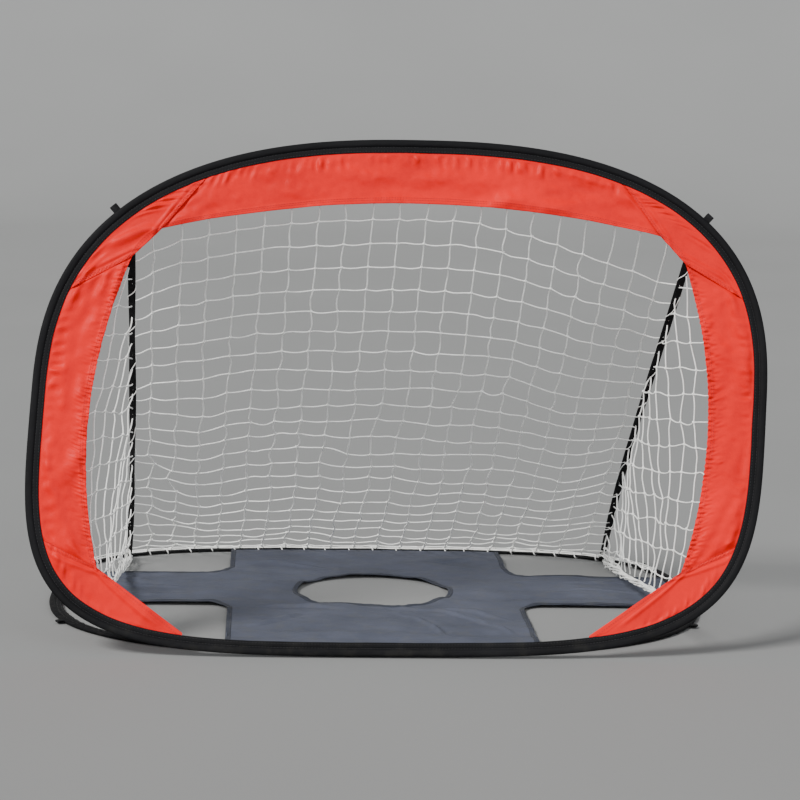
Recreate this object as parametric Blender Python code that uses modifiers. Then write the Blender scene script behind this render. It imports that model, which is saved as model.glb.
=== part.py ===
"""Pop-up football goal: two sprung hoops sewn together along the front edge.

The base hoop lies on the ground and carries a target sheet with five holes.
The standing hoop leans back over it, edged with red panels round the mouth,
and a net on two webbing straps runs from the mouth down to the base's rear.
X is across the mouth, +Y runs from the mouth to the rear, +Z is up, and the
origin is on the ground under the middle of the base hoop's front edge.
"""

import math

import bmesh
import bpy
from mathutils import Matrix, Vector

COLLECTION_NAME = "soccer_goal_frame"
SIDES = (("right", 1), ("left", -1))

# Hoops (metres)
BASE_WIDTH = 1.140
STAND_WIDTH = 1.200
BASE_DEPTH = 0.850
STAND_HEIGHT = 0.850
BASE_FRONT_ROUNDING = 2.55
BASE_REAR_ROUNDING = 3.5
STAND_BOTTOM_ROUNDING = 4.0
STAND_TOP_ROUNDING = 2.5
STAND_LEAN = math.radians(16.0)
STAND_SWAY = 0.060
HOOP_STATIONS = 72
OUTLINE_STEPS = 1600

# Sleeve, a folded strip whose lips hold the cloth, and the wire inside it
SLEEVE_WIDTH = 0.022
SLEEVE_HALF_THICKNESS = 0.004
SLEEVE_WALL = 0.0009
SLEEVE_CROWN_START = 0.003
SLEEVE_CROWN_END = 0.0085
LIP_HALF_GAP = 0.0007
WIRE_RADIUS = 0.0015
WIRE_INSET = 0.0052
WIRE_END_GAP = 0.002
FERRULE_LENGTH = 0.036
FERRULE_BORE_RADIUS = 0.0018
FERRULE_RADIUS = 0.0026

# Fold axis: the lower rear edge of the standing sleeve. The origin is the
# middle of the flat underside of the base sleeve's front.
BASE_SETBACK = -(SLEEVE_CROWN_START + SLEEVE_CROWN_END) / 2
AXIS_CLEARANCE = 0.0005
AXIS_Y = BASE_SETBACK - AXIS_CLEARANCE
AXIS_HEIGHT = 2 * SLEEVE_HALF_THICKNESS + AXIS_CLEARANCE
STAND_OFFSET = SLEEVE_HALF_THICKNESS + 0.0003
STAND_DROP = 0.007

# Cloth
CLOTH = 0.0008
CLOTH_INSET = 0.016
SEAM_GAP = 0.0005
BINDING_WIDTH = 0.008
BINDING_THICKNESS = 0.0007
TOUCH_GAP = 0.0003
BASE_EDGE_POINTS = 160
STAND_EDGE_POINTS = 144

# Mouth, in the standing hoop's plane: distance across and height up
TOP_HEM_HEIGHT = 0.736
TOP_HEM_BOW = 0.286
TOP_CORNER_X = 0.410
SIDE_CORNER = (0.457, 0.640)
SIDE_HEM_X = 0.505
SIDE_HEM_BOW = 0.63
SIDE_HEM_MIDDLE = 0.360
LOWER_CORNER_HEIGHT = 0.132
TIP_X = 0.327
TIP_INSET = 0.0245
UPPER_SEAM_X = 0.340
SIDE_SEAM_HEIGHT = 0.581
LOWER_SEAM_HEIGHT = 0.178

# Target sheet, on the base
BAND_HALF_WIDTH = 0.258
ARM_FRONT = 0.352
ARM_REAR = 0.592
FRONT_CORNER_RADIUS = 0.036
REAR_CORNER_RADIUS = 0.070
CENTRE_HOLE_Y = 0.460
CENTRE_HOLE_RADII = (0.136, 0.128)
CORNER_KEEP_OFF = 0.004
BINDING_LIP_GAP = 0.002

# Net and straps
NET_THICKNESS = 0.0015
NET_BEHIND_HEM = 0.0010
NET_HEM_OVERLAP = 0.006
NET_SAG = 0.080
NET_SAG_DIRECTION = (0.0, -0.73, -0.68)
SIDE_NET_SAG = 0.030
SIDE_NET_HEM_OVERLAP = 0.004
SIDE_NET_DROP = 0.020
SIDE_NET_ON_STRAP = (0.035, 0.990)
SIDE_NET_OFF_STRAP = (0.004, -0.010, 0.004)
STRAP_HALF_WIDTH = 0.006
STRAP_HALF_THICKNESS = 0.0006
STRAP_FOOT_X = 0.452
STRAP_FOOT_GAP = 0.0055
STRAP_HEM_RISE = 0.004
STRAP_CLEARANCE = 0.011
NET_FOOT_HEIGHT = 0.0085
SIDE_NET_LOW = 0.090

# Webbing loops
LOOP_WIDTH = 0.013
LOOP_REACH = 0.012
LOOP_HALF_THICKNESS = 0.0019
LOOP_WEBBING = 0.0010
BASE_LOOP_PLACES = {"front": (0.56, 0.20), "rear": (0.53, 0.72)}
STAND_LOOP_PLACE = (0.49, 0.72)

# Hinge tape
TAPE_HALF_LENGTH = 0.220
TAPE_INSETS = (0.0095, 0.0210)

MATERIALS = {
    "black_polyester": ((0.012, 0.012, 0.014, 1.0), 0.72, 0.0),
    "red_polyester": ((0.780, 0.032, 0.030, 1.0), 0.55, 0.0),
    "slate_polyester": ((0.095, 0.108, 0.150, 1.0), 0.62, 0.0),
    "dark_binding": ((0.030, 0.035, 0.048, 1.0), 0.68, 0.0),
    "white_net": ((0.820, 0.860, 0.800, 1.0), 0.60, 0.0),
    "black_webbing": ((0.010, 0.010, 0.011, 1.0), 0.80, 0.0),
    "spring_steel": ((0.420, 0.430, 0.450, 1.0), 0.32, 1.0),
    "ferrule_steel": ((0.560, 0.560, 0.570, 1.0), 0.38, 1.0),
}


# ---------------------------------------------------------------- scene set-up

def clear_scene():
    for item in list(bpy.data.objects):
        bpy.data.objects.remove(item, do_unlink=True)


def new_collection(name):
    collection = bpy.data.collections.new(name)
    bpy.context.scene.collection.children.link(collection)
    return collection


def make_materials():
    made = {}
    for name, (colour, roughness, metallic) in MATERIALS.items():
        material = bpy.data.materials.new(name)
        material.use_nodes = True
        shader = material.node_tree.nodes["Principled BSDF"]
        shader.inputs["Base Color"].default_value = colour
        shader.inputs["Roughness"].default_value = roughness
        shader.inputs["Metallic"].default_value = metallic
        made[name] = material
    return made


clear_scene()
PARTS = new_collection(COLLECTION_NAME)
GUIDES = new_collection("guides")
FINISH = make_materials()


def add_object(name, data, finish, parent=None):
    item = bpy.data.objects.new(name, data)
    PARTS.objects.link(item)
    data.materials.append(FINISH[finish])
    item.parent = parent
    return item


def add_frame(name, location, tilt):
    frame = bpy.data.objects.new(name, None)
    PARTS.objects.link(frame)
    frame.location = location
    frame.rotation_euler = (tilt, 0.0, 0.0)
    return frame


# ------------------------------------------------------------- plane geometry

def resample(points, count, closed=True):
    """Points spaced evenly along a polyline."""
    ring = points + [points[0]] if closed else points
    reach = [0.0]
    for a, b in zip(ring, ring[1:]):
        reach.append(reach[-1] + (b - a).length)
    divisions = count if closed else count - 1
    spaced = []
    k = 0
    for i in range(count):
        target = reach[-1] * i / divisions
        while k < len(ring) - 2 and reach[k + 1] < target:
            k += 1
        part = (target - reach[k]) / max(reach[k + 1] - reach[k], 1e-9)
        spaced.append(ring[k].lerp(ring[k + 1], min(max(part, 0.0), 1.0)))
    return spaced


def rounded_hoop(width, depth, start, near_rounding, far_rounding, sway=0.0):
    """Closed outline, anticlockwise from the middle of its near side."""
    half_w = width / 2
    half_d = depth / 2
    outline = []
    for i in range(OUTLINE_STEPS):
        angle = 2 * math.pi * i / OUTLINE_STEPS - math.pi / 2
        c = math.cos(angle)
        s = math.sin(angle)
        power = 2 / (far_rounding if s > 0 else near_rounding)
        x = math.copysign(half_w * abs(c) ** power, c)
        y = math.copysign(half_d * abs(s) ** power, s) + half_d + start
        outline.append(Vector((x + sway * y, y)))
    return outline


def inset(points, distance):
    """A closed anticlockwise outline moved inwards by a distance."""
    moved = []
    count = len(points)
    for i, point in enumerate(points):
        along = points[(i + 1) % count] - points[i - 1]
        inward = Vector((-along.y, along.x)).normalized()
        moved.append(point + inward * distance)
    return moved


def arc_between(outline, first, last):
    """The outline's points from nearest `first` anticlockwise to nearest `last`."""
    def nearest(target):
        return min(range(len(outline)), key=lambda i: (outline[i] - target).length)
    i = nearest(first)
    j = nearest(last)
    if j < i:
        j += len(outline)
    return [outline[k % len(outline)] for k in range(i, j + 1)]


def trimmed(points, gap):
    """An open polyline shortened by a gap at both ends."""
    head = points[0] + (points[1] - points[0]).normalized() * gap
    tail = points[-1] + (points[-2] - points[-1]).normalized() * gap
    inside = []
    for point in points[1:-1]:
        if min((point - points[0]).length, (point - points[-1]).length) > 2 * gap:
            inside.append(point)
    return [head] + inside + [tail]


def swayed(x, y):
    return Vector((x + STAND_SWAY * y, y))


def on_side(points, side):
    """A polyline given for the right side, kept there or mirrored to the left."""
    return [Vector((side * p.x, p.y)) for p in points]


BASE_OUTLINE = rounded_hoop(BASE_WIDTH, BASE_DEPTH, BASE_SETBACK, BASE_FRONT_ROUNDING, BASE_REAR_ROUNDING)
STAND_OUTLINE = rounded_hoop(STAND_WIDTH, STAND_HEIGHT, -STAND_DROP, STAND_BOTTOM_ROUNDING,
                             STAND_TOP_ROUNDING, STAND_SWAY)
REAR_LIP = resample(inset(BASE_OUTLINE, SLEEVE_WIDTH + STRAP_FOOT_GAP), 2 * BASE_EDGE_POINTS)


# ------------------------------------------------------------ object builders

def poly_curve(name, loops, dimensions, cyclic=True):
    curve = bpy.data.curves.new(name, "CURVE")
    curve.dimensions = dimensions
    for points in loops:
        spline = curve.splines.new("POLY")
        spline.points.add(len(points) - 1)
        for slot, point in zip(spline.points, points):
            slot.co = (point[0], point[1], point[2] if len(point) > 2 else 0.0, 1.0)
        spline.use_cyclic_u = cyclic
    return curve


def flat_piece(name, loops, thickness, finish, parent, height=0.0):
    """A flat sheet cut to an outline, with any holes as further loops."""
    curve = poly_curve(name, loops, "2D")
    curve.fill_mode = "BOTH"
    curve.extrude = thickness / 2
    item = add_object(name, curve, finish, parent)
    item.location.z = height
    return item


def sleeve_profile():
    """Folded strip in section: -X is inwards from the hoop's outer edge."""
    wall = SLEEVE_WALL
    lip_outer = LIP_HALF_GAP + wall
    outer = [(SLEEVE_WIDTH, lip_outer), (SLEEVE_CROWN_END, SLEEVE_HALF_THICKNESS),
             (SLEEVE_CROWN_START, SLEEVE_HALF_THICKNESS), (0.0, 0.0)]
    inner = [(wall * 1.1, 0.0), (SLEEVE_CROWN_START + wall / 2, SLEEVE_HALF_THICKNESS - wall),
             (SLEEVE_CROWN_END - wall / 2, SLEEVE_HALF_THICKNESS - wall), (SLEEVE_WIDTH, LIP_HALF_GAP)]
    lower_outer = [(x, -t) for x, t in reversed(outer[:-1])]
    lower_inner = [(x, -t) for x, t in reversed(inner[1:])]
    return [(-x, t) for x, t in outer + lower_outer + lower_inner + inner]


def make_sleeve(name, outline, parent, height):
    flat = poly_curve(name + "_section", [sleeve_profile()], "2D")
    section = bpy.data.objects.new(name + "_section", flat)
    section.hide_render = True
    section.display_type = "WIRE"
    GUIDES.objects.link(section)
    curve = poly_curve(name, [resample(outline, HOOP_STATIONS)], "3D")
    curve.twist_mode = "Z_UP"
    curve.bevel_mode = "OBJECT"
    curve.bevel_object = section
    item = add_object(name, curve, "black_polyester", parent)
    item.location.z = height
    return item


def make_wire(name, outline, start, parent, height):
    """An open ring of spring wire whose ends meet in the ferrule."""
    ring = resample(inset(outline, WIRE_INSET), HOOP_STATIONS)
    turn = min(range(len(ring)), key=lambda i: (ring[i] - start).length)
    ring = ring[turn:] + ring[:turn + 1]
    path = trimmed(ring, WIRE_END_GAP / 2)
    curve = poly_curve(name, [path], "3D", cyclic=False)
    curve.twist_mode = "Z_UP"
    curve.bevel_depth = WIRE_RADIUS
    curve.bevel_resolution = 1
    curve.use_fill_caps = True
    item = add_object(name, curve, "spring_steel", parent)
    item.location.z = height
    return item


def make_ferrule(name, centre, parent):
    """A short crimped tube along X, turned from its wall's section."""
    half = FERRULE_LENGTH / 2
    section = [(FERRULE_RADIUS, -half), (FERRULE_RADIUS, half),
               (FERRULE_BORE_RADIUS, half), (FERRULE_BORE_RADIUS, -half)]
    mesh = bpy.data.meshes.new(name)
    points = [(r, 0.0, z) for r, z in reversed(section)]
    mesh.from_pydata(points, [(i, (i + 1) % len(points)) for i in range(len(points))], [])
    item = add_object(name, mesh, "ferrule_steel", parent)
    screw = item.modifiers.new("turn", "SCREW")
    screw.axis = "Z"
    screw.steps = 12
    screw.render_steps = 12
    screw.use_merge_vertices = True
    screw.merge_threshold = 0.0001
    item.location = centre
    item.rotation_euler = (0.0, math.radians(90.0), 0.0)
    return item


def make_loop(name, outline, near, parent, height):
    """A webbing loop folded like a hairpin, standing out from the sleeve's edge."""
    index = min(range(len(outline)), key=lambda i: (outline[i] - near).length)
    along = (outline[(index + 1) % len(outline)] - outline[index - 1]).normalized()
    outward = Vector((along.y, -along.x, 0.0))
    half = LOOP_HALF_THICKNESS
    bore = half - LOOP_WEBBING
    turns = [math.radians(a) for a in range(-90, 91, 30)]
    outer = [(LOOP_REACH - half + half * math.cos(a), half * math.sin(a)) for a in turns]
    inner = [(LOOP_REACH - half + bore * math.cos(a), bore * math.sin(a)) for a in reversed(turns)]
    root = TOUCH_GAP
    section = [(root, -half)] + outer + [(root, half), (root, bore)] + inner + [(root, -bore)]
    curve = poly_curve(name, [section], "2D")
    curve.fill_mode = "BOTH"
    curve.extrude = LOOP_WIDTH / 2
    item = add_object(name, curve, "black_webbing", parent)
    up = Vector((0.0, 0.0, 1.0))
    side = outward.cross(up)
    place = Matrix((outward, up, side)).transposed().to_4x4()
    place.translation = Vector((outline[index].x, outline[index].y, height))
    item.matrix_local = place
    return item


def make_skin(name, rows, columns, surface, thickness, finish, parent=None):
    """A curved sheet from a function of two fractions, thickened evenly."""
    shape = bmesh.new()
    bmesh.ops.create_grid(shape, x_segments=columns, y_segments=rows, size=0.5)
    for vertex in shape.verts:
        vertex.co = surface(vertex.co.x + 0.5, vertex.co.y + 0.5)
    mesh = bpy.data.meshes.new(name)
    shape.to_mesh(mesh)
    shape.free()
    item = add_object(name, mesh, finish, parent)
    solid = item.modifiers.new("cloth", "SOLIDIFY")
    solid.thickness = thickness
    solid.offset = 0.0
    return item


# ---------------------------------------------------------------- base hoop

def corner_arc(centre_x, centre_y, radius, start_deg, end_deg, steps=6):
    points = []
    for i in range(steps + 1):
        angle = math.radians(start_deg + (end_deg - start_deg) * i / steps)
        points.append(Vector((centre_x + radius * math.cos(angle), centre_y + radius * math.sin(angle))))
    return points


def front_hole_edge():
    """Right front hole: from the front sleeve up the band and out along the arm."""
    r = FRONT_CORNER_RADIUS
    centre = (BAND_HALF_WIDTH + r, ARM_FRONT - r)
    return corner_arc(*centre, r, 180.0, 90.0)


def rear_hole_edge():
    """Right rear hole: from the arm's rear edge in and back along the band."""
    r = REAR_CORNER_RADIUS
    centre = (BAND_HALF_WIDTH + r, ARM_REAR + r)
    return corner_arc(*centre, r, 270.0, 180.0)


def across(points):
    return [Vector((-p.x, p.y)) for p in reversed(points)]


def crossing_y(edge, x, rear):
    """Height at which a closed edge passes a given x, on its front or rear side."""
    middle = BASE_DEPTH / 2
    candidates = [p for p in edge if (p.y > middle) == rear]
    a, b = sorted(candidates, key=lambda p: abs(p.x - x))[:2]
    part = (x - a.x) / (b.x - a.x)
    return a.y + (b.y - a.y) * part


def crossing_x(edge, y):
    candidates = [p for p in edge if p.x > 0]
    a, b = sorted(candidates, key=lambda p: abs(p.y - y))[:2]
    part = (y - a.y) / (b.y - a.y)
    return a.x + (b.x - a.x) * part


def make_target_sheet(parent, height):
    edge = resample(inset(BASE_OUTLINE, CLOTH_INSET), BASE_EDGE_POINTS)
    band = BAND_HALF_WIDTH
    front = Vector((band, crossing_y(edge, band, False)))
    rear = Vector((band, crossing_y(edge, band, True)))
    arm_low = Vector((crossing_x(edge, ARM_FRONT), ARM_FRONT))
    arm_high = Vector((crossing_x(edge, ARM_REAR), ARM_REAR))
    keep = CORNER_KEEP_OFF
    side = [p for p in edge if p.x > 0 and ARM_FRONT + keep < p.y < ARM_REAR - keep]
    right = [front] + front_hole_edge() + [arm_low] + side + [arm_high] + rear_hole_edge() + [rear]
    front_run = [p for p in edge if p.y < BASE_DEPTH / 2 and abs(p.x) < band - keep]
    rear_run = [p for p in edge if p.y > BASE_DEPTH / 2 and abs(p.x) < band - keep]
    front_run.sort(key=lambda p: p.x)
    rear_run.sort(key=lambda p: -p.x)
    outline = front_run + right + rear_run + across(right)
    flat_piece("target_sheet", [outline, centre_hole(0.0)], CLOTH, "slate_polyester", parent, height)


def centre_hole(grow, steps=40):
    points = []
    for i in range(steps):
        angle = 2 * math.pi * i / steps
        points.append(Vector(((CENTRE_HOLE_RADII[0] + grow) * math.cos(angle),
                              CENTRE_HOLE_Y + (CENTRE_HOLE_RADII[1] + grow) * math.sin(angle))))
    return points


def corner_binding_outline(path, side):
    """A strip along a hole's edge, on the sheet's side of it."""
    shifted = []
    for i, point in enumerate(path):
        before = path[max(i - 1, 0)]
        after = path[min(i + 1, len(path) - 1)]
        along = (after - before).normalized()
        shifted.append(point + Vector((-along.y, along.x)) * BINDING_WIDTH * side)
    return path + shifted[::-1]


def make_bindings(parent, sheet_height):
    height = sheet_height + CLOTH / 2 + TOUCH_GAP + BINDING_THICKNESS / 2
    flat_piece("hole_binding_centre", [centre_hole(BINDING_WIDTH), centre_hole(SEAM_GAP)],
               BINDING_THICKNESS, "dark_binding", parent, height)
    lips = resample(inset(BASE_OUTLINE, SLEEVE_WIDTH + BINDING_LIP_GAP), BASE_EDGE_POINTS)
    band = BAND_HALF_WIDTH
    front_start = Vector((band, crossing_y(lips, band, False)))
    front_end = Vector((crossing_x(lips, ARM_FRONT), ARM_FRONT))
    rear_start = Vector((band, crossing_y(lips, band, True)))
    rear_end = Vector((crossing_x(lips, ARM_REAR), ARM_REAR))
    front = corner_binding_outline([front_start] + front_hole_edge() + [front_end], 1)
    rear = corner_binding_outline([rear_start] + rear_hole_edge()[::-1] + [rear_end], -1)
    for word, side in SIDES:
        for place, outline in (("front", front), ("rear", rear)):
            flat_piece(f"hole_binding_{place}_{word}", [on_side(outline, side)], BINDING_THICKNESS,
                       "dark_binding", parent, height)


def make_tape(parent):
    """Webbing along the front, between the two sleeves."""
    runs = []
    for distance in TAPE_INSETS:
        ring = resample(inset(BASE_OUTLINE, distance), BASE_EDGE_POINTS)
        run = [p for p in ring if p.y < BASE_DEPTH / 2 and abs(p.x) < TAPE_HALF_LENGTH]
        runs.append(sorted(run, key=lambda p: p.x))
    flat_piece("front_join_tape", [runs[0] + runs[1][::-1]], CLOTH, "black_webbing", parent, AXIS_HEIGHT)


def make_base():
    frame = add_frame("base_hoop_frame", (0.0, 0.0, 0.0), 0.0)
    middle = SLEEVE_HALF_THICKNESS
    rear = Vector((0.0, BASE_SETBACK + BASE_DEPTH - WIRE_INSET))
    make_sleeve("base_sleeve", BASE_OUTLINE, frame, middle)
    make_wire("base_spring_wire", BASE_OUTLINE, rear, frame, middle)
    make_ferrule("base_wire_ferrule", (0.0, rear.y, middle), frame)
    make_target_sheet(frame, middle)
    make_bindings(frame, middle)
    for end, (x, y) in BASE_LOOP_PLACES.items():
        for word, side in SIDES:
            make_loop(f"base_loop_{end}_{word}", BASE_OUTLINE, Vector((side * x, y)), frame, middle)
    make_tape(frame)


# ------------------------------------------------------------ standing hoop

def top_hem(steps=16):
    run = []
    for i in range(steps + 1):
        x = TOP_CORNER_X * (1 - 2 * i / steps)
        run.append((x, TOP_HEM_HEIGHT - TOP_HEM_BOW * x * x))
    return run


def side_hem_x(height):
    return SIDE_HEM_X - SIDE_HEM_BOW * (height - SIDE_HEM_MIDDLE) ** 2


def side_hem(steps=12):
    run = []
    for i in range(steps + 1):
        y = LOWER_CORNER_HEIGHT + (SIDE_CORNER[1] - LOWER_CORNER_HEIGHT) * i / steps
        run.append((side_hem_x(y), y))
    return run


def outline_at(outline, x=None, y=None):
    """Point of the right half of an unswayed outline at a given height or width."""
    if y is None:
        top = [p for p in outline if p.y > STAND_HEIGHT / 2 and p.x > 0]
        return min(top, key=lambda p: abs(p.x - x))
    right = [p for p in outline if p.x > 0]
    return min(right, key=lambda p: abs(p.y - y))


def panel_outlines():
    """Outlines of the panels on the right side and of the top panel, unswayed."""
    plain = rounded_hoop(STAND_WIDTH, STAND_HEIGHT, -STAND_DROP, STAND_BOTTOM_ROUNDING, STAND_TOP_ROUNDING)
    edge = resample(inset(plain, CLOTH_INSET), STAND_EDGE_POINTS)
    upper = outline_at(edge, x=UPPER_SEAM_X)
    side = outline_at(edge, y=SIDE_SEAM_HEIGHT)
    lower = outline_at(edge, y=LOWER_SEAM_HEIGHT)
    low = [p for p in edge if p.y < STAND_HEIGHT / 2 and p.x > 0]
    tip = min(low, key=lambda p: abs(p.x - TIP_X))
    tip_inner = Vector((tip.x, tip.y + TIP_INSET - CLOTH_INSET))
    top_right = Vector((TOP_CORNER_X, TOP_HEM_HEIGHT - TOP_HEM_BOW * TOP_CORNER_X ** 2))
    side_top = Vector((side_hem_x(SIDE_CORNER[1]), SIDE_CORNER[1]))
    side_low = Vector((side_hem_x(LOWER_CORNER_HEIGHT), LOWER_CORNER_HEIGHT))
    mirror = Vector((-upper.x, upper.y))
    hem = [Vector(p) for p in top_hem()]
    gap = SEAM_GAP / 2
    panels = {
        "front_panel_top": (arc_between(edge, upper, mirror), hem),
        "front_corner_upper": (arc_between(edge, side, upper), [side_top, top_right]),
        "front_panel_side": (arc_between(edge, lower, side), [Vector(p) for p in side_hem()]),
        "front_corner_lower": (arc_between(edge, tip, lower), [tip_inner, side_low]),
    }
    outlines = {}
    for name, (outer, inner) in panels.items():
        outlines[name] = trimmed(outer, gap) + trimmed(inner, gap)[::-1]
    return outlines


def make_panels(parent, height):
    for name, outline in panel_outlines().items():
        pieces = [(f"{name}_{word}", side) for word, side in SIDES]
        if name == "front_panel_top":
            pieces = [(name, 1)]
        for piece, side in pieces:
            points = [swayed(p.x, p.y) for p in on_side(outline, side)]
            flat_piece(piece, [points], CLOTH, "red_polyester", parent, height)


def make_stand():
    tilt = math.pi / 2 - STAND_LEAN
    frame = add_frame("front_hoop_frame", (0.0, AXIS_Y, AXIS_HEIGHT), tilt)
    middle = STAND_OFFSET
    start = Vector((0.0, WIRE_INSET - STAND_DROP))
    make_sleeve("front_sleeve", STAND_OUTLINE, frame, middle)
    make_wire("front_spring_wire", STAND_OUTLINE, start, frame, middle)
    make_ferrule("front_wire_ferrule", (0.0, start.y, middle), frame)
    make_panels(frame, middle)
    for word, side in SIDES:
        near = swayed(side * STAND_LOOP_PLACE[0], STAND_LOOP_PLACE[1])
        make_loop("front_loop_upper_" + word, STAND_OUTLINE, near, frame, middle)


# ----------------------------------------------------------- net and straps

def stand_place(x, y, rise):
    """World position of a point in the standing hoop's plane, `rise` in front of its axis plane."""
    tilt = math.pi / 2 - STAND_LEAN
    turn = Matrix.Rotation(tilt, 3, "X")
    flat = swayed(x, y)
    return turn @ Vector((flat.x, flat.y, rise)) + Vector((0.0, AXIS_Y, AXIS_HEIGHT))


def net_top_height(x):
    """Height of the mouth's upper edge, across the top and its two corners."""
    reach = abs(x)
    if reach <= TOP_CORNER_X:
        return TOP_HEM_HEIGHT - TOP_HEM_BOW * reach * reach
    corner = TOP_HEM_HEIGHT - TOP_HEM_BOW * TOP_CORNER_X ** 2
    fall = (corner - SIDE_CORNER[1]) / (SIDE_CORNER[0] - TOP_CORNER_X)
    return corner - fall * (reach - TOP_CORNER_X)


def strap_top(side):
    x, y = SIDE_CORNER
    return stand_place(side * x, y + STRAP_HEM_RISE, 2 * NET_BEHIND_HEM)


def strap_foot(side):
    return Vector((side * STRAP_FOOT_X, crossing_y(REAR_LIP, STRAP_FOOT_X, True), SLEEVE_HALF_THICKNESS))


def rear_net_surface(across_part, down_part):
    span = 2 * across_part - 1
    reach = SIDE_CORNER[0] - STRAP_CLEARANCE
    x_top = span * reach
    top = stand_place(x_top, net_top_height(x_top) + NET_HEM_OVERLAP, NET_BEHIND_HEM)
    x_foot = span * (STRAP_FOOT_X - STRAP_CLEARANCE)
    foot = Vector((x_foot, crossing_y(REAR_LIP, x_foot, True), NET_FOOT_HEIGHT))
    sag = NET_SAG * 4 * down_part * (1 - down_part) * (1 - span ** 4)
    return top.lerp(foot, down_part) + Vector(NET_SAG_DIRECTION) * sag


def side_net_surface(side):
    def surface(across_part, down_part):
        start_height = SIDE_CORNER[1] - SIDE_NET_DROP
        y = start_height + (SIDE_NET_LOW - start_height) * down_part
        front = stand_place(side * (side_hem_x(y) + SIDE_NET_HEM_OVERLAP), y, NET_BEHIND_HEM)
        first, last = SIDE_NET_ON_STRAP
        rear = strap_top(side).lerp(strap_foot(side), first + (last - first) * down_part)
        out, back, up = SIDE_NET_OFF_STRAP
        rear += Vector((side * out, back, up))
        sag = SIDE_NET_SAG * math.sin(math.pi * across_part) * math.sin(math.pi * down_part)
        return front.lerp(rear, across_part) + Vector((-side, 0.0, 0.0)) * sag
    return surface


def make_strap(name, side):
    """Flat webbing pulled straight from the mouth's corner to the base's corner."""
    top = strap_top(side)
    foot = strap_foot(side)
    along = (foot - top).normalized()
    wide = Vector((1.0, 0.0, 0.0)) - along * along.x
    wide.normalize()
    face = along.cross(wide)
    half_w = STRAP_HALF_WIDTH
    half_t = STRAP_HALF_THICKNESS
    bpy.ops.mesh.primitive_cube_add(size=1.0)
    item = bpy.context.active_object
    item.name = name
    item.data.name = name
    for vertex in item.data.vertices:
        part = vertex.co.copy()
        middle = top.lerp(foot, part.z + 0.5)
        vertex.co = middle + wide * (2 * half_w * part.x) + face * (2 * half_t * part.y)
    for group in list(item.users_collection):
        group.objects.unlink(item)
    PARTS.objects.link(item)
    item.data.materials.append(FINISH["black_webbing"])
    return item


def make_net():
    make_skin("net_rear", 10, 16, rear_net_surface, NET_THICKNESS, "white_net")
    for word, side in SIDES:
        make_skin("net_side_" + word, 10, 8, side_net_surface(side), NET_THICKNESS, "white_net")
        make_strap("corner_strap_" + word, side)


make_base()
make_stand()
make_net()
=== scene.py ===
import math

import bpy
import numpy as np
from mathutils import Matrix, Vector
from mathutils.geometry import delaunay_2d_cdt


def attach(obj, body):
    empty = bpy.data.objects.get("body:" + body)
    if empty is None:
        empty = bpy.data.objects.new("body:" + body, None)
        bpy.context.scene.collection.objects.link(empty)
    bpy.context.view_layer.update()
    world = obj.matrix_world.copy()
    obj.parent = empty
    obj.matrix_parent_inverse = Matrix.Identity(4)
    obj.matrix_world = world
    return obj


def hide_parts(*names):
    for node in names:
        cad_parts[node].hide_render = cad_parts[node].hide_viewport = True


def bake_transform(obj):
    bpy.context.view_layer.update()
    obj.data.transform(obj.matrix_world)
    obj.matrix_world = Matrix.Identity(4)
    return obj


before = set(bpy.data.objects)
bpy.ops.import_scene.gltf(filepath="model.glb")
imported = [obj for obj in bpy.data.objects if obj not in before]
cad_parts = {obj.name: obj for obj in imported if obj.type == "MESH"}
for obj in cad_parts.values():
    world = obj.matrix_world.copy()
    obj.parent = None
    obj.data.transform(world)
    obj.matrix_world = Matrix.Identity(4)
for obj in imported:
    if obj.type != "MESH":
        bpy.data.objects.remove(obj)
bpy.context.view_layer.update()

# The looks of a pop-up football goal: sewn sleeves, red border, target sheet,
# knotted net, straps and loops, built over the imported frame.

# Hoops, as in the frame (metres)
BASE_WIDTH = 1.140
STAND_WIDTH = 1.200
BASE_DEPTH = 0.850
STAND_HEIGHT = 0.850
BASE_FRONT_ROUNDING = 2.55
BASE_REAR_ROUNDING = 3.5
STAND_BOTTOM_ROUNDING = 4.0
STAND_TOP_ROUNDING = 2.5
STAND_LEAN = math.radians(16.0)
STAND_SWAY = 0.060
BASE_SETBACK = -0.00575
AXIS_Y = -0.00625
AXIS_HEIGHT = 0.0085
STAND_OFFSET = 0.0043
STAND_DROP = 0.007
SLEEVE_WIDTH = 0.022
SLEEVE_MIDDLE = 0.004
CLOTH_INSET = 0.016
FOLD_ANGLE = math.pi / 2 - STAND_LEAN

# Mouth, in the standing hoop's plane
TOP_HEM_HEIGHT = 0.736
TOP_HEM_BOW = 0.286
TOP_CORNER_X = 0.410
SIDE_CORNER = (0.457, 0.640)
SIDE_HEM_X = 0.505
SIDE_HEM_BOW = 0.63
SIDE_HEM_MIDDLE = 0.360
LOWER_CORNER_HEIGHT = 0.132
TIP_X = 0.327
TIP_INSET = 0.0245
UPPER_SEAM_X = 0.340
SIDE_SEAM_HEIGHT = 0.581
LOWER_SEAM_HEIGHT = 0.178

# Target sheet
BAND_HALF_WIDTH = 0.258
ARM_FRONT = 0.352
ARM_REAR = 0.592
FRONT_CORNER_RADIUS = 0.036
REAR_CORNER_RADIUS = 0.070
CENTRE_HOLE_Y = 0.460
CENTRE_HOLE_RADII = (0.136, 0.128)

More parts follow.
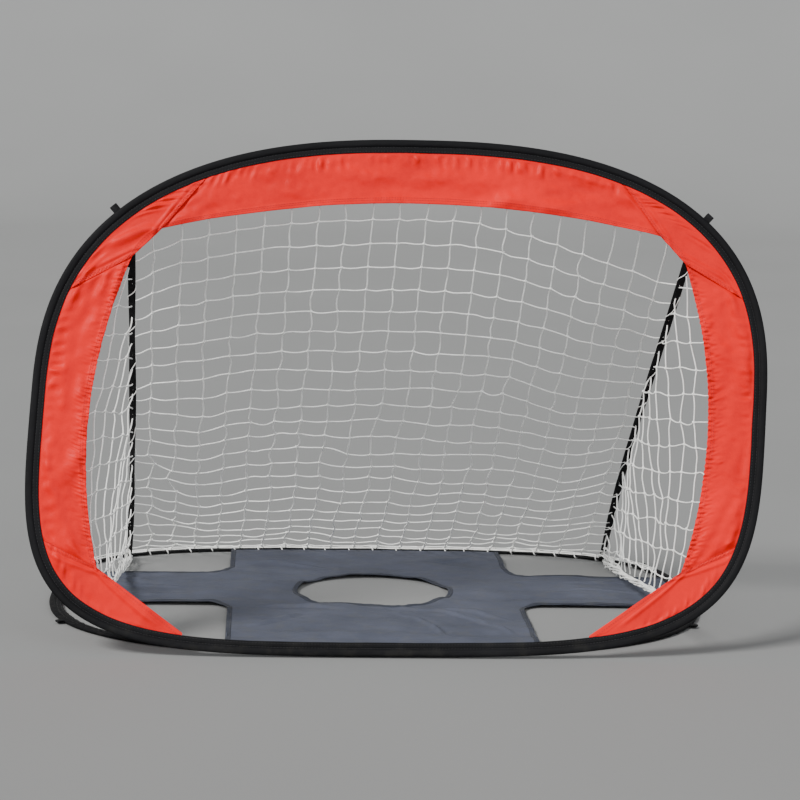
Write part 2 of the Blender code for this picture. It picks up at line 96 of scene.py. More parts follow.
# Net and straps
NET_BEHIND_HEM = 0.0010
NET_HEM_OVERLAP = 0.006
NET_SAG = 0.080
NET_SAG_DIRECTION = np.array((0.0, -0.73, -0.68))
SIDE_NET_SAG = 0.030
SIDE_NET_HEM_OVERLAP = 0.004
SIDE_NET_DROP = 0.020
SIDE_NET_LOW = 0.090
SIDE_NET_ON_STRAP = (0.035, 0.990)
STRAP_FOOT_X = 0.452
STRAP_FOOT_GAP = 0.0055
STRAP_HEM_RISE = 0.004
STRAP_CLEARANCE = 0.011
NET_FOOT_HEIGHT = 0.0085
MESH = 0.045
TWINE = 0.00125

# Fineness of the shapes
HOOP_POINTS = 2400
SLEEVE_STATIONS = 1300
HEM_POINTS = 60
BAND_CORNERS = 12

SIDES = (("right", 1), ("left", -1))


# ------------------------------------------------------------ plane geometry

def length_of(points):
    return float(np.linalg.norm(np.diff(points, axis=0), axis=1).sum())


def travelled(points):
    """How far along a line each of its points is."""
    return np.concatenate([[0.0], np.cumsum(np.linalg.norm(np.diff(points, axis=0), axis=1))])


def read_off(rows, reach, wanted):
    """Rows of numbers known at the distances `reach`, read at the wanted distances."""
    return np.stack([np.interp(wanted, reach, column) for column in rows.T], -1)


def closed_up(ring):
    """A ring of points with its first point again at its end."""
    return np.vstack([ring, ring[:1]])


def resample(points, count, closed=False):
    """Points spaced evenly along a line, or round a closed ring."""
    line = closed_up(points) if closed else np.asarray(points, float)
    reach = travelled(line)
    if closed:
        return read_off(line, reach, np.linspace(0.0, reach[-1], count + 1)[:-1])
    return read_off(line, reach, np.linspace(0.0, reach[-1], count))


def hoop(width, depth, start, near_rounding, far_rounding):
    """Closed outline, anticlockwise from the middle of its near side."""
    angle = np.arange(HOOP_POINTS) * (2 * math.pi / HOOP_POINTS) - math.pi / 2
    c, s = np.cos(angle), np.sin(angle)
    power = np.where(s > 0, 2 / far_rounding, 2 / near_rounding)
    x = np.sign(c) * width / 2 * np.abs(c) ** power
    y = np.sign(s) * depth / 2 * np.abs(s) ** power + depth / 2 + start
    return resample(np.stack([x, y], 1), HOOP_POINTS, closed=True)


def inward_of(ring):
    """Directions into an anticlockwise ring at each of its points."""
    along = np.roll(ring, -1, axis=0) - np.roll(ring, 1, axis=0)
    normal = np.stack([-along[:, 1], along[:, 0]], 1)
    return normal / np.linalg.norm(normal, axis=1)[:, None]


def inset(ring, distance):
    return ring + inward_of(ring) * distance


def sway(points):
    return np.stack([points[:, 0] + STAND_SWAY * points[:, 1], points[:, 1]], 1)


def on_side(points, side):
    return points * np.array([side, 1.0])


def nearest(ring, point):
    return int(np.argmin(np.linalg.norm(ring - np.asarray(point), axis=1)))


def arc_between(ring, first, last):
    """The ring's points from nearest `first` anticlockwise to nearest `last`."""
    i, j = nearest(ring, first), nearest(ring, last)
    if j < i:
        j += len(ring)
    return ring[np.arange(i, j + 1) % len(ring)]


BASE = hoop(BASE_WIDTH, BASE_DEPTH, BASE_SETBACK, BASE_FRONT_ROUNDING, BASE_REAR_ROUNDING)
STAND_PLAIN = hoop(STAND_WIDTH, STAND_HEIGHT, -STAND_DROP, STAND_BOTTOM_ROUNDING, STAND_TOP_ROUNDING)
STAND = sway(STAND_PLAIN)


def on_base(points, rise):
    """Points of the lower hoop's plane, lifted from its middle."""
    return np.concatenate([points, (SLEEVE_MIDDLE + rise)[..., None]], -1)


def on_stand(points, rise):
    """Points of the standing hoop's plane, moved out of it towards the front."""
    c, s = math.cos(FOLD_ANGLE), math.sin(FOLD_ANGLE)
    lift = STAND_OFFSET + rise
    x = points[..., 0]
    y = AXIS_Y + points[..., 1] * c - lift * s
    z = AXIS_HEIGHT + points[..., 1] * s + lift * c
    return np.stack([x, y, z], -1)


def smooth(value, start, end):
    part = np.clip((value - start) / (end - start), 0.0, 1.0)
    return part * part * (3 - 2 * part)


def bump(value, centre, width):
    return np.exp(-((value - centre) / width) ** 2)


def waves(seed, shortest, longest, count=9):
    """A smooth random height of two coordinates, about -1 to 1."""
    draw = np.random.default_rng(seed)
    size = np.exp(draw.uniform(math.log(shortest), math.log(longest), count))
    turn = draw.uniform(0, 2 * math.pi, count)
    phase = draw.uniform(0, 2 * math.pi, count)
    strength = (size / longest) ** 0.6
    strength = strength / np.sqrt((strength ** 2).sum() / 2) * 0.55

    def height(u, v):
        total = 0.0
        for k in range(count):
            way = u * math.cos(turn[k]) + v * math.sin(turn[k])
            total = total + strength[k] * np.sin(2 * math.pi * way / size[k] + phase[k])
        return total
    return height


# ------------------------------------------------------------- mesh building

class Pile:
    """Points and faces of many shapes that become one mesh."""

    def __init__(self):
        self.points = []
        self.faces = []
        self.maps = []
        self.total = 0

    def add(self, points, faces, corner_map):
        """faces: rows of point numbers; corner_map: a place in metres for each face corner."""
        self.points.append(points)
        self.faces += (np.asarray(faces) + self.total).tolist()
        self.maps.append(np.asarray(corner_map, np.float32).reshape(-1, 2))
        self.total += len(points)

    def build(self, name, finish):
        mesh = bpy.data.meshes.new(name)
        mesh.from_pydata(np.concatenate(self.points).tolist(), [], self.faces)
        layer = mesh.uv_layers.new(name="cloth_metres")
        layer.data.foreach_set("uv", np.concatenate(self.maps).ravel())
        mesh.shade_smooth()
        item = bpy.data.objects.new(name, mesh)
        bpy.context.scene.collection.objects.link(item)
        mesh.materials.append(finish)
        return item


def grid_faces(rows, columns, closed_rows=False, closed_columns=False):
    """Quads of a grid, and each corner's row and column before it wraps."""
    last_row = rows if closed_rows else rows - 1
    last_column = columns if closed_columns else columns - 1
    i, j = np.meshgrid(np.arange(last_row), np.arange(last_column), indexing="ij")
    i, j = i.ravel(), j.ravel()
    ci = np.stack([i, i + 1, i + 1, i], 1)
    cj = np.stack([j, j, j + 1, j + 1], 1)
    return (ci % rows) * columns + cj % columns, ci, cj


def add_grid(pile, points, u, v, closed_rows=False, closed_columns=False, flip=False):
    """A grid of points with cloth places u by row and v by column, one longer where closed."""
    rows, columns = points.shape[:2]
    faces, ci, cj = grid_faces(rows, columns, closed_rows, closed_columns)
    corner = np.stack([np.asarray(u)[ci], np.asarray(v)[cj]], -1)
    if flip:
        faces, corner = faces[:, ::-1], corner[:, ::-1]
    pile.add(points.reshape(-1, 3), faces, corner)


def path_frames(path):
    """A steady pair of side directions along a path."""
    along = np.gradient(path, axis=0)
    along /= np.linalg.norm(along, axis=1)[:, None] + 1e-12
    start = np.array([0.0, 0.0, 1.0]) if abs(along[0, 2]) < 0.9 else np.array([1.0, 0.0, 0.0])
    side = np.cross(along[0], start)
    sides = []
    for direction in along:
        side = side - direction * (side @ direction)
        side /= np.linalg.norm(side) + 1e-12
        sides.append(side)
    sides = np.array(sides)
    return along, sides, np.cross(along, sides)


def add_ends(pile, rings, tips):
    """Close the first and last of a row of rings with triangles that meet at their tips."""
    corners = rings.shape[1]
    faces = [(k, (k + 1) % corners, corners) for k in range(corners)]
    for ring, tip in ((rings[0][::-1], tips[0]), (rings[-1], tips[-1])):
        pile.add(np.vstack([ring, tip]), faces, np.zeros((3 * corners, 2)))


def add_tube(pile, path, radius, corners=6):
    """A round cord with closed ends along a path."""
    _, side, up = path_frames(path)
    turn = np.arange(corners) * 2 * math.pi / corners
    around = side[:, None] * np.cos(turn)[:, None] + up[:, None] * np.sin(turn)[:, None]
    rings = path[:, None] + around * radius
    add_grid(pile, rings, travelled(path), np.arange(corners + 1) * radius, closed_columns=True)
    add_ends(pile, rings, path)


def add_band(pile, path, wide, face, half_width, half_thickness):
    """Flat webbing with rounded edges; wide and face are its directions at each point."""
    turn = np.arange(BAND_CORNERS) * 2 * math.pi / BAND_CORNERS
    across = np.sign(np.cos(turn)) * np.abs(np.cos(turn)) ** 0.5 * half_width
    through = np.sign(np.sin(turn)) * np.abs(np.sin(turn)) ** 0.7 * half_thickness
    rings = path[:, None] + wide[:, None] * across[:, None] + face[:, None] * through[:, None]
    places = travelled(np.stack([across, through], 1))
    places = np.append(places, places[-1] + half_width * 0.3)
    add_grid(pile, rings, travelled(path), places, closed_columns=True)
    add_ends(pile, rings, rings.mean(1))


# A stitch's five rings: place along it, height in thread radii, and thickness beside the thread's
STITCH_RINGS = np.array([(-0.5, -0.4, 0.35),
                         (-0.3, 0.5, 1.0),
                         (0.0, 0.75, 1.0),
                         (0.3, 0.5, 1.0),
                         (0.5, -0.4, 0.35)])


def add_stitches(pile, path, outward, spacing, stitch=0.0030, radius=0.00028):
    """A row of short raised threads along a path, each dipping into the cloth at its ends."""
    whole = length_of(path)
    count = max(2, int(whole / spacing))
    reach = travelled(path)
    middles = (np.arange(count) + 0.5) * whole / count
    turn = np.arange(5) * 2 * math.pi / 5
    wanted = middles[:, None] + STITCH_RINGS[None, :, 0] * stitch
    spots = read_off(path, reach, wanted)
    outs = read_off(outward, reach, wanted)
    along = spots[:, -1] - spots[:, 0]
    along /= np.linalg.norm(along, axis=1)[:, None] + 1e-12
    sides = np.cross(along[:, None], outs)
    centre = spots + outs * (STITCH_RINGS[None, :, 1] * radius)[..., None]
    size = STITCH_RINGS[None, :, 2] * radius
    ring = sides[:, :, None] * np.cos(turn)[:, None] + outs[:, :, None] * np.sin(turn)[:, None]
    rings = centre[:, :, None] + ring * size[..., None, None]
    faces, ci, cj = grid_faces(5, 5, closed_columns=True)
    ends = np.array([[4, 3, 2, 1, 0]])
    far = np.array([[20, 21, 22, 23, 24]])
    flat = rings.reshape(count, 25, 3)
    side_map = np.stack([ci * 0.25 * stitch, cj * radius], -1)
    for k in range(count):
        pile.add(flat[k], faces, side_map)
        pile.add(np.empty((0, 3)), ends - 25, np.zeros((5, 2)))
        pile.add(np.empty((0, 3)), far - 25, np.zeros((5, 2)))


# ---------------------------------------------------------------- materials

def node(tree, kind, inputs=(), **settings):
    made = tree.nodes.new(kind)
    for key, value in settings.items():
        setattr(made, key, value)
    for key, value in dict(inputs).items():
        if isinstance(value, bpy.types.NodeSocket):
            tree.links.new(value, made.inputs[key])
        else:
            made.inputs[key].default_value = value
    return made


def material(name):
    """A new material, its nodes, its shader and the place on the piece in metres."""
    made = bpy.data.materials.new(name)
    made.use_nodes = True
    tree = made.node_tree
    place = node(tree, "ShaderNodeTexCoord").outputs["Object"]
    return made, tree, tree.nodes["Principled BSDF"], place


def maths(tree, operation, first, second=0.0):
    made = node(tree, "ShaderNodeMath", {0: first, 1: second}, operation=operation)
    return made.outputs[0]


def noise(tree, place, scale, detail=3.0, rough=0.55):
    made = node(tree, "ShaderNodeTexNoise", {"Vector": place, "Scale": scale,
                                             "Detail": detail, "Roughness": rough})
    return made.outputs["Fac"]


def stops(tree, value, *pairs):
    """A colour ramp through the given (place, colour) pairs."""
    made = node(tree, "ShaderNodeValToRGB", {"Fac": value})
    ramp = made.color_ramp
    while len(ramp.elements) < len(pairs):
        ramp.elements.new(0.5)
    for element, (place, colour) in zip(ramp.elements, pairs):
        element.position = place
        element.color = (*colour, 1.0)
    return made.outputs["Color"]


def level(tree, value, low, high, to_low, to_high):
    made = node(tree, "ShaderNodeMapRange", {"Value": value, "From Min": low, "From Max": high,
                                            "To Min": to_low, "To Max": to_high})
    return made.outputs["Result"]


def cloth_places(tree):
    """The cloth's own two distances in metres, along it and across it."""
    uv = node(tree, "ShaderNodeUVMap", uv_map="cloth_metres").outputs["UV"]
    parts = node(tree, "ShaderNodeSeparateXYZ", {"Vector": uv})
    return parts.outputs["X"], parts.outputs["Y"]


def turns(tree, distance, period):
    return maths(tree, "MULTIPLY", distance, 2 * math.pi / period)


def ridges(tree, distance, period):
    return maths(tree, "SINE", turns(tree, distance, period))


def vary_roughness(tree, shader, value, start, end):
    """Roughness from start to end as an uneven value goes from 0.3 to 0.7."""
    tree.links.new(level(tree, value, 0.3, 0.7, start, end), shader.inputs["Roughness"])


def raise_surface(tree, shader, height, strength):
    bumped = node(tree, "ShaderNodeBump", {"Height": height, "Strength": strength, "Distance": 1.0})
    tree.links.new(bumped.outputs["Normal"], shader.inputs["Normal"])


def mixed(tree, share, first, second):
    """Blend two colours by a share from 0 to 1."""
    made = node(tree, "ShaderNodeMix", {0: share}, data_type="RGBA")
    tree.links.new(first, made.inputs[6])
    made.inputs[7].default_value = (*second, 1.0)
    return made.outputs[2]


WEAVE_PERIOD = 0.0011
DUST_COLOUR = (0.105, 0.100, 0.075)


def cloth_material(name, light, mid, dark, rough, soil, specular):
    """Woven coated polyester: weave with painted shade between its threads, uneven dye, creases and faint
    soiling near the ground.
    """
    made, tree, shader, place = material(name)
    warp, weft = [ridges(tree, way, WEAVE_PERIOD) for way in cloth_places(tree)]
    height = maths(tree, "MULTIPLY", warp, weft)
    broad = noise(tree, place, 9.0, 4.0)
    fine = noise(tree, place, 160.0, 2.0)
    tone = maths(tree, "ADD", maths(tree, "MULTIPLY", broad, 0.75), maths(tree, "MULTIPLY", fine, 0.25))
    # Painted weave shade: the colour follows the weave's bump height, a little lighter on the crests and
    # darker in the hollows between threads.
    tone = maths(tree, "ADD", tone, maths(tree, "MULTIPLY", height, 0.035))
    colour = stops(tree, tone, (0.30, dark), (0.50, mid), (0.72, light))
    ground = node(tree, "ShaderNodeSeparateXYZ", {"Vector": place}).outputs["Z"]
    low = level(tree, ground, 0.0, 0.10, 1.0, 0.0)
    spots = level(tree, noise(tree, place, 38.0, 5.0, 0.65), 0.50, 0.72, 0.0, soil)
    dusty = mixed(tree, maths(tree, "MULTIPLY", low, spots), colour, DUST_COLOUR)
    tree.links.new(dusty, shader.inputs["Base Color"])
    vary_roughness(tree, shader, fine, rough - 0.05, rough + 0.06)
    shader.inputs["Specular IOR Level"].default_value = specular
    crumple = maths(tree, "MULTIPLY", noise(tree, place, 48.0, 3.0), 0.0016)
    relief = maths(tree, "ADD", maths(tree, "MULTIPLY", height, 0.00006), crumple)
    raise_surface(tree, shader, relief, 0.4)
    return made


def thread_material(name, light, dark, rough=0.62, twist=0.0016, radius_turn=0.0066):
    """Twisted yarn: diagonal plies along the cord with painted shade in their grooves, and yarn that is
    nowhere quite even.
    """
    made, tree, shader, place = material(name)
    along, around = cloth_places(tree)
    both = maths(tree, "ADD", turns(tree, along, twist), turns(tree, around, radius_turn))
    ply = maths(tree, "SINE", both)
    # Tone: yarn uneven at random, plus painted shade in the grooves between the plies and painted highlight
    # on their crests.
    tone = maths(tree, "ADD", noise(tree, place, 70.0, 3.0), maths(tree, "MULTIPLY", ply, 0.12))
    tree.links.new(stops(tree, tone, (0.30, dark), (0.62, light)), shader.inputs["Base Color"])
    vary_roughness(tree, shader, noise(tree, place, 300.0), rough - 0.06, rough + 0.08)
    shader.inputs["Sheen Weight"].default_value = 0.15
    raise_surface(tree, shader, maths(tree, "MULTIPLY", ply, 0.00018), 0.7)
    return made


def webbing_material(name):
    """Ribbed black webbing, unevenly dark at random, with painted highlight on its rib crests and painted
    shade between the ribs.
    """
    made, tree, shader, place = material(name)
    along, across = cloth_places(tree)
    rib = ridges(tree, along, 0.0014)
    yarn = ridges(tree, across, 0.0011)
    relief = maths(tree, "MULTIPLY", maths(tree, "ADD", rib, maths(tree, "MULTIPLY", yarn, rib)), 0.5)
    # Tone: black uneven at random, plus painted highlight on the rib crests and painted shade between the
    # ribs.
    tone = maths(tree, "ADD", noise(tree, place, 120.0, 4.0), maths(tree, "MULTIPLY", relief, 0.1))
    colour = stops(tree, tone, (0.35, (0.003, 0.003, 0.0035)), (0.60, (0.006, 0.006, 0.007)),
                   (0.80, (0.014, 0.014, 0.015)))
    tree.links.new(colour, shader.inputs["Base Color"])
    vary_roughness(tree, shader, tone, 0.86, 0.70)
    shader.inputs["Specular IOR Level"].default_value = 0.18
    raise_surface(tree, shader, maths(tree, "MULTIPLY", relief, 0.00016), 0.8)
    return made


def steel_material(name, light, dark, rough):
    """Drawn or plated steel: fine streaks and a trace of dull oxide."""
    made, tree, shader, place = material(name)
    stretched = node(tree, "ShaderNodeMapping", {"Vector": place, "Scale": (40.0, 900.0, 900.0)})
    streak = noise(tree, stretched.outputs["Vector"], 1.0, 3.0)
    tree.links.new(stops(tree, streak, (0.35, dark), (0.65, light)), shader.inputs["Base Color"])
    vary_roughness(tree, shader, noise(tree, place, 90.0), rough - 0.06, rough + 0.10)
    shader.inputs["Metallic"].default_value = 1.0
    return made


def floor_material():
    made, tree, shader, place = material("pale_floor")
    tone = noise(tree, place, 0.8, 2.0)
    tree.links.new(stops(tree, tone, (0.3, (0.205, 0.208, 0.207)), (0.7, (0.216, 0.219, 0.218))),
                   shader.inputs["Base Color"])
    shader.inputs["Roughness"].default_value = 0.85
    return made


BLACK_CLOTH = cloth_material("black_polyester_cloth", (0.0085, 0.0085, 0.0098), (0.0055, 0.0055, 0.0064),
                             (0.0035, 0.0035, 0.0042), 0.62, soil=0.10, specular=0.10)
RED_CLOTH = cloth_material("red_polyester_cloth", (0.775, 0.0040, 0.0044), (0.700, 0.0030, 0.0033),
                           (0.600, 0.0022, 0.0024), 0.44, soil=0.04, specular=0.13)
SLATE_CLOTH = cloth_material("slate_polyester_cloth", (0.085, 0.093, 0.124), (0.068, 0.075, 0.101),
                             (0.053, 0.059, 0.081), 0.60, soil=0.22, specular=0.14)
BINDING_CLOTH = cloth_material("dark_binding_cloth", (0.048, 0.053, 0.070), (0.036, 0.040, 0.054),
                               (0.025, 0.028, 0.038), 0.62, soil=0.22, specular=0.15)
NET_TWINE = thread_material("white_net_twine", (0.97, 0.97, 0.95), (0.86, 0.87, 0.83))
# Sewing thread's roughness, the length of its twist, and one turn round it
SEWING = (0.55, 0.0006, 0.0017)
BLACK_THREAD = thread_material("black_thread", (0.020, 0.020, 0.023), (0.009, 0.009, 0.010), *SEWING)
RED_THREAD = thread_material("red_thread", (0.520, 0.006, 0.006), (0.330, 0.004, 0.004), *SEWING)
SLATE_THREAD = thread_material("slate_thread", (0.052, 0.058, 0.078), (0.030, 0.034, 0.047), *SEWING)
WEBBING = webbing_material("black_webbing_ribbed")
SPRING_STEEL = steel_material("drawn_spring_steel", (0.46, 0.47, 0.49), (0.30, 0.31, 0.33), 0.32)
FERRULE_STEEL = steel_material("plated_ferrule_steel", (0.62, 0.62, 0.63), (0.44, 0.44, 0.45), 0.36)


# ------------------------------------------------------------------- sleeves

CHANNEL_CENTRE = 0.0058
CHANNEL_HALF = 0.0058
CHANNEL_RISE = 0.0040
CHANNEL_SEAM = 0.0128
LIP_SEAM = 0.0192
LIP_RISE = 0.0016
SLEEVE_STITCH_PITCH = 0.0050
SLEEVE_STITCH = 0.0034


def sleeve_rise(inwards):
    """Half thickness of the sleeve at a distance in from its outer edge."""
    across = np.clip(np.abs(inwards - CHANNEL_CENTRE) / (CHANNEL_HALF + 0.0006), 0, 1)
    channel = CHANNEL_RISE * (1 - across ** 2.3) ** 0.5
    lip = LIP_RISE * smooth(inwards, 0.0108, 0.0145) * (1 - 0.45 * smooth(inwards, 0.0205, 0.0221))
    rise = np.maximum(channel, lip)
    rise = np.maximum(rise, 0.0011 * smooth(inwards, 0.0, 0.001))
    return rise - 0.0004 * bump(inwards, CHANNEL_SEAM, 0.0009) - 0.0003 * bump(inwards, LIP_SEAM, 0.0008)


def sleeve_surface(ring, place, seed, face, crush):
    """Function of station and inward distance for one face; crush is where it is crumpled."""
    inward = inward_of(ring)
    reach = travelled(closed_up(ring))[:-1]
    broad = waves(seed, 0.05, 0.30)
    fine = waves(seed + 1, 0.010, 0.028)
    pucker = waves(seed + 2, 0.0065, 0.014)

    def surface(inwards):
        a = np.broadcast_to(inwards, (len(ring), len(inwards)))
        s = reach[:, None] + 0 * a
        rise = sleeve_rise(a)
        dent = 0.5 + 0.5 * broad(s, a * 6 + face)
        crease = 0.5 + 0.5 * fine(s, a * 3 - face)
        slack = crush[:, None]
        rise = rise * (1 - 0.10 * dent - (0.06 + 0.34 * slack) * crease * bump(a, CHANNEL_CENTRE, 0.006))
        rise = rise - 0.00035 * (0.5 + 0.5 * pucker(s, a + face)) * bump(a, CHANNEL_SEAM, 0.0035)
        edge = (0.00035 + 0.0014 * slack) * broad(s, 0.4 * face + 0 * a) * smooth(a, 0.016, 0.022)
        edge = edge + 0.0010 * slack * fine(s, 0 * a) * smooth(a, 0.009, 0.022)
        spot = ring[:, None] + inward[:, None] * (a + edge)[..., None]
        return place(spot, face * rise)
    return surface


def make_sleeve(name, outline, place, seed, body, cad_node):
    """A folded black strip round a hoop, with two rows of stitches on both faces."""
    ring = resample(outline, SLEEVE_STATIONS, closed=True)
    top_inwards = np.concatenate([np.linspace(SLEEVE_WIDTH + 0.0001, CHANNEL_SEAM, 12),
                                  np.linspace(CHANNEL_SEAM - 0.001, 0.0, 14)])
    under_inwards = top_inwards[::-1][1:]
    crush = 0 * ring[:, 0]
    if body == "base_hoop":
        crush = smooth(np.abs(ring[:, 0]), 0.40, 0.50) * (1 - smooth(ring[:, 1], 0.22, 0.32))
    top = sleeve_surface(ring, place, seed, 1, crush)(top_inwards)
    under = sleeve_surface(ring, place, seed, -1, crush)(under_inwards)
    points = np.concatenate([top, under], 1)
    profile = np.concatenate([top_inwards, -under_inwards])
    places = np.append(profile, profile[-1] - 0.001)
    pile = Pile()
    add_grid(pile, points, travelled(closed_up(ring)), places, True, True)
    item = pile.build(name, BLACK_CLOTH)
    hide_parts(cad_node)
    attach(item, body)
    add_sleeve_stitches(name, ring, place, seed, crush, body)


def add_sleeve_stitches(name, ring, place, seed, crush, body):
    """Two rows round the hoop on both faces: beside the wire's channel and at the lips."""
    threads = Pile()
    for face in (1, -1):
        surface = sleeve_surface(ring, place, seed, face, crush)
        for seam in (CHANNEL_SEAM, LIP_SEAM):
            line = closed_up(surface(np.array([seam]))[:, 0])
            outward = place(ring, np.full(len(ring), face * 0.01)) - place(ring, np.zeros(len(ring)))
            add_stitches(threads, line, closed_up(outward) / 0.01, SLEEVE_STITCH_PITCH, SLEEVE_STITCH)
    stitches = threads.build(name + "_stitches", BLACK_THREAD)
    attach(stitches, body)


# ----------------------------------------------------------------- red border

HEM_WIDTH = 0.0118
PANEL_HALF = 0.00032
PANEL_STEP = 0.0011
PANEL_LAP = 6
HEM_ROWS = (0.0062, 0.0094)
SEAM_ROWS = (0.0022, 0.0088)
STITCH_PITCH = 0.0046
# A stitch's length and its thread's radius
PANEL_STITCH = (0.0032, 0.00036)


def top_hem():
    x = np.linspace(TOP_CORNER_X, -TOP_CORNER_X, HEM_POINTS)
    return np.stack([x, TOP_HEM_HEIGHT - TOP_HEM_BOW * x * x], 1)


def side_hem_x(height):
    return SIDE_HEM_X - SIDE_HEM_BOW * (height - SIDE_HEM_MIDDLE) ** 2


def side_hem():
    y = np.linspace(LOWER_CORNER_HEIGHT, SIDE_CORNER[1], HEM_POINTS)
    return np.stack([side_hem_x(y), y], 1)


def border_runs():
    """Outer and inner runs of the border's panels on the right, unswayed."""
    edge = inset(STAND_PLAIN, CLOTH_INSET + 0.001)
    upper_half = edge[:, 1] > STAND_HEIGHT / 2
    right = edge[:, 0] > 0

    def pick(choice, values, target):
        places = np.where(choice)[0]
        return edge[places[np.argmin(np.abs(values[places] - target))]]
    upper = pick(upper_half & right, edge[:, 0], UPPER_SEAM_X)
    side = pick(right, edge[:, 1], SIDE_SEAM_HEIGHT)
    lower = pick(right & ~upper_half, edge[:, 1], LOWER_SEAM_HEIGHT)
    tip = pick(right & ~upper_half, edge[:, 0] + 10 * (edge[:, 1] > LOWER_SEAM_HEIGHT), TIP_X)
    tip_inner = tip + np.array([0.0, TIP_INSET - CLOTH_INSET])
    top_right = top_hem()[0]
    side_top, side_low = side_hem()[-1], side_hem()[0]
    return {
        "front_panel_top": (arc_between(edge, upper, upper * (-1, 1)), top_hem()),
        "front_corner_upper": (arc_between(edge, side, upper), np.array([side_top, top_right])),
        "front_panel_side": (arc_between(edge, lower, side), side_hem()),
        "front_corner_lower": (arc_between(edge, tip, lower), np.array([tip_inner, side_low])),
    }


def longer(run, extra):
    """A run of points carried on straight past both ends by a number of steps."""
    count = np.arange(extra, 0, -1)[:, None]
    before = run[0] - (run[1] - run[0]) * count
    after = run[-1] + (run[-1] - run[-2]) * count[::-1]
    return np.vstack([before, run, after])


def panel_grid(outer, inner, side, lap):
    """Plane points by column and row, from the hem out to the sleeve."""
    columns = max(24, int(length_of(inner) / PANEL_STEP))
    hem = resample(inner, columns)
    rim = resample(outer, columns)
    if lap:
        hem, rim = longer(hem, lap), longer(rim, lap)
    hem, rim = sway(on_side(hem, side)), sway(on_side(rim, side))
    width = np.linalg.norm(rim - hem, axis=1)
    band = np.minimum(HEM_WIDTH + 0.0015, 0.6 * width)
    near = np.linspace(0, 1, 19)[None] * band[:, None]
    far = band[:, None] + np.linspace(0, 1, 53)[None, 1:] * (width - band)[:, None]
    distance = np.concatenate([near, far], 1)
    way = (rim - hem) / width[:, None]
    return hem[:, None] + way[:, None] * distance[..., None], distance, width


def dimples(along, off, row, width=0.0010):
    """The pull of a row of stitches: a groove that is deepest at each stitch."""
    return bump(off, row, width) * (0.55 + 0.45 * np.cos(2 * math.pi * along / STITCH_PITCH))


def seam_profile(along, distance, ends):
    """Lift of the folded seam allowance beside a panel's seams, and its gathers."""
    lift = 0.0
    for seam_at in ends:
        off = np.abs(along - seam_at)
        lift = lift + 0.0008 * (1 - smooth(off, 0.0098, 0.0116))
        for row in SEAM_ROWS:
            lift = lift - 0.0012 * dimples(distance, off, row)
        gathers = np.sin(2 * math.pi * distance / 0.0075 + 2 * off / 0.003)
        lift = lift + 0.0009 * bump(off, 0.0055, 0.0028) * gathers
        lift = lift + 0.0014 * bump(off, 0.023, 0.0060) - 0.0007 * bump(off, 0.0140, 0.0030)
    return lift


def fold_side_panel(out, distance, along, held, patch, seed):
    """Gathers along a side panel's stretched hem, and the folds behind them."""
    fold = waves(seed + 1, 0.030, 0.085)
    gather = waves(seed + 2, 0.0050, 0.0088, 8)
    wider = waves(seed + 3, 0.012, 0.024, 7)
    lean = along + 0.30 * distance
    near_hem = np.exp(-(distance / 0.0150) ** 2) + 0.25 * np.exp(-(distance / 0.026) ** 2)
    out = out + 0.00150 * near_hem * gather(lean, 0.4 * distance)
    out = out + 0.0012 * bump(distance, 0.021, 0.012) * patch * wider(lean, 0.25 * distance)
    out = out + held * 0.0048 * patch * fold(0.22 * along, 1.1 * distance - 0.24 * along)
    return out + held * 0.0032 * (1 - patch) * fold(0.7 * along + 0.9 * distance + 0.5, 0.5 * distance)


def hem_thickness(kind, distance, width, along):
    """The hem's doubled cloth, drawn in by its rows of stitches."""
    hem_zone = np.minimum(HEM_WIDTH, 0.5 * width)
    thick = 0.0008 * (1 - smooth(distance, hem_zone * 0.9, hem_zone * 1.08))
    thick = thick - 0.0006 * dimples(along, distance, HEM_ROWS[1], 0.0009)
    if kind != "front_corner_lower":
        thick = thick - 0.0004 * dimples(along, distance, HEM_ROWS[0], 0.0008)
    return thick


def panel_relief(kind, spot, distance, width, along, seed):
    """How far the cloth stands out of the hoop's plane."""
    width = width[:, None]
    share = distance / width
    slender = smooth(width, 0.018, 0.075)
    held = slender * smooth(width - distance, 0.0058, np.maximum(0.26 * width, 0.012))
    x, y = spot[..., 0], spot[..., 1]
    broad = waves(seed, 0.09, 0.30)
    small = waves(seed + 6, 0.014, 0.030)
    patch = 0.5 + 0.5 * waves(seed + 7, 0.08, 0.20)(x, y)
    out = held * (0.0028 * broad(x, y) + 0.00040 * small(x, y))
    if kind == "front_panel_side":
        out = fold_side_panel(out, distance, along, held, patch, seed)
    if kind.startswith("front_corner"):
        rays = waves(seed + 4, 0.034, 0.095, 6)
        out = out + held * 0.0034 * patch * rays(0.8 * along, 0.5 * distance + 0.25 * along)
    if kind == "front_panel_top":
        drag = waves(seed + 5, 0.035, 0.11, 8)
        out = out + held * 0.0046 * patch * drag(0.5 * along + 0.9 * distance, 1.1 * distance - 0.1 * along)
    pull = waves(seed + 8, 0.011, 0.030, 8)
    tug = 0.0048 if kind == "front_corner_upper" else 0.0024
    near_sleeve = slender * bump(share, 0.80, 0.13) * smooth(width - distance, 0.0060, 0.0130)
    out = out + tug * near_sleeve * (1.1 - patch) * pull(along + 0.6 * distance, 0.25 * distance)
    out = np.where(out < 0, 0.62 * out, out)
    if kind == "front_corner_lower":
        out = out + 0.0020 * bump(distance, 0.0175, 0.0045) * smooth(width, 0.03, 0.06)
    return out


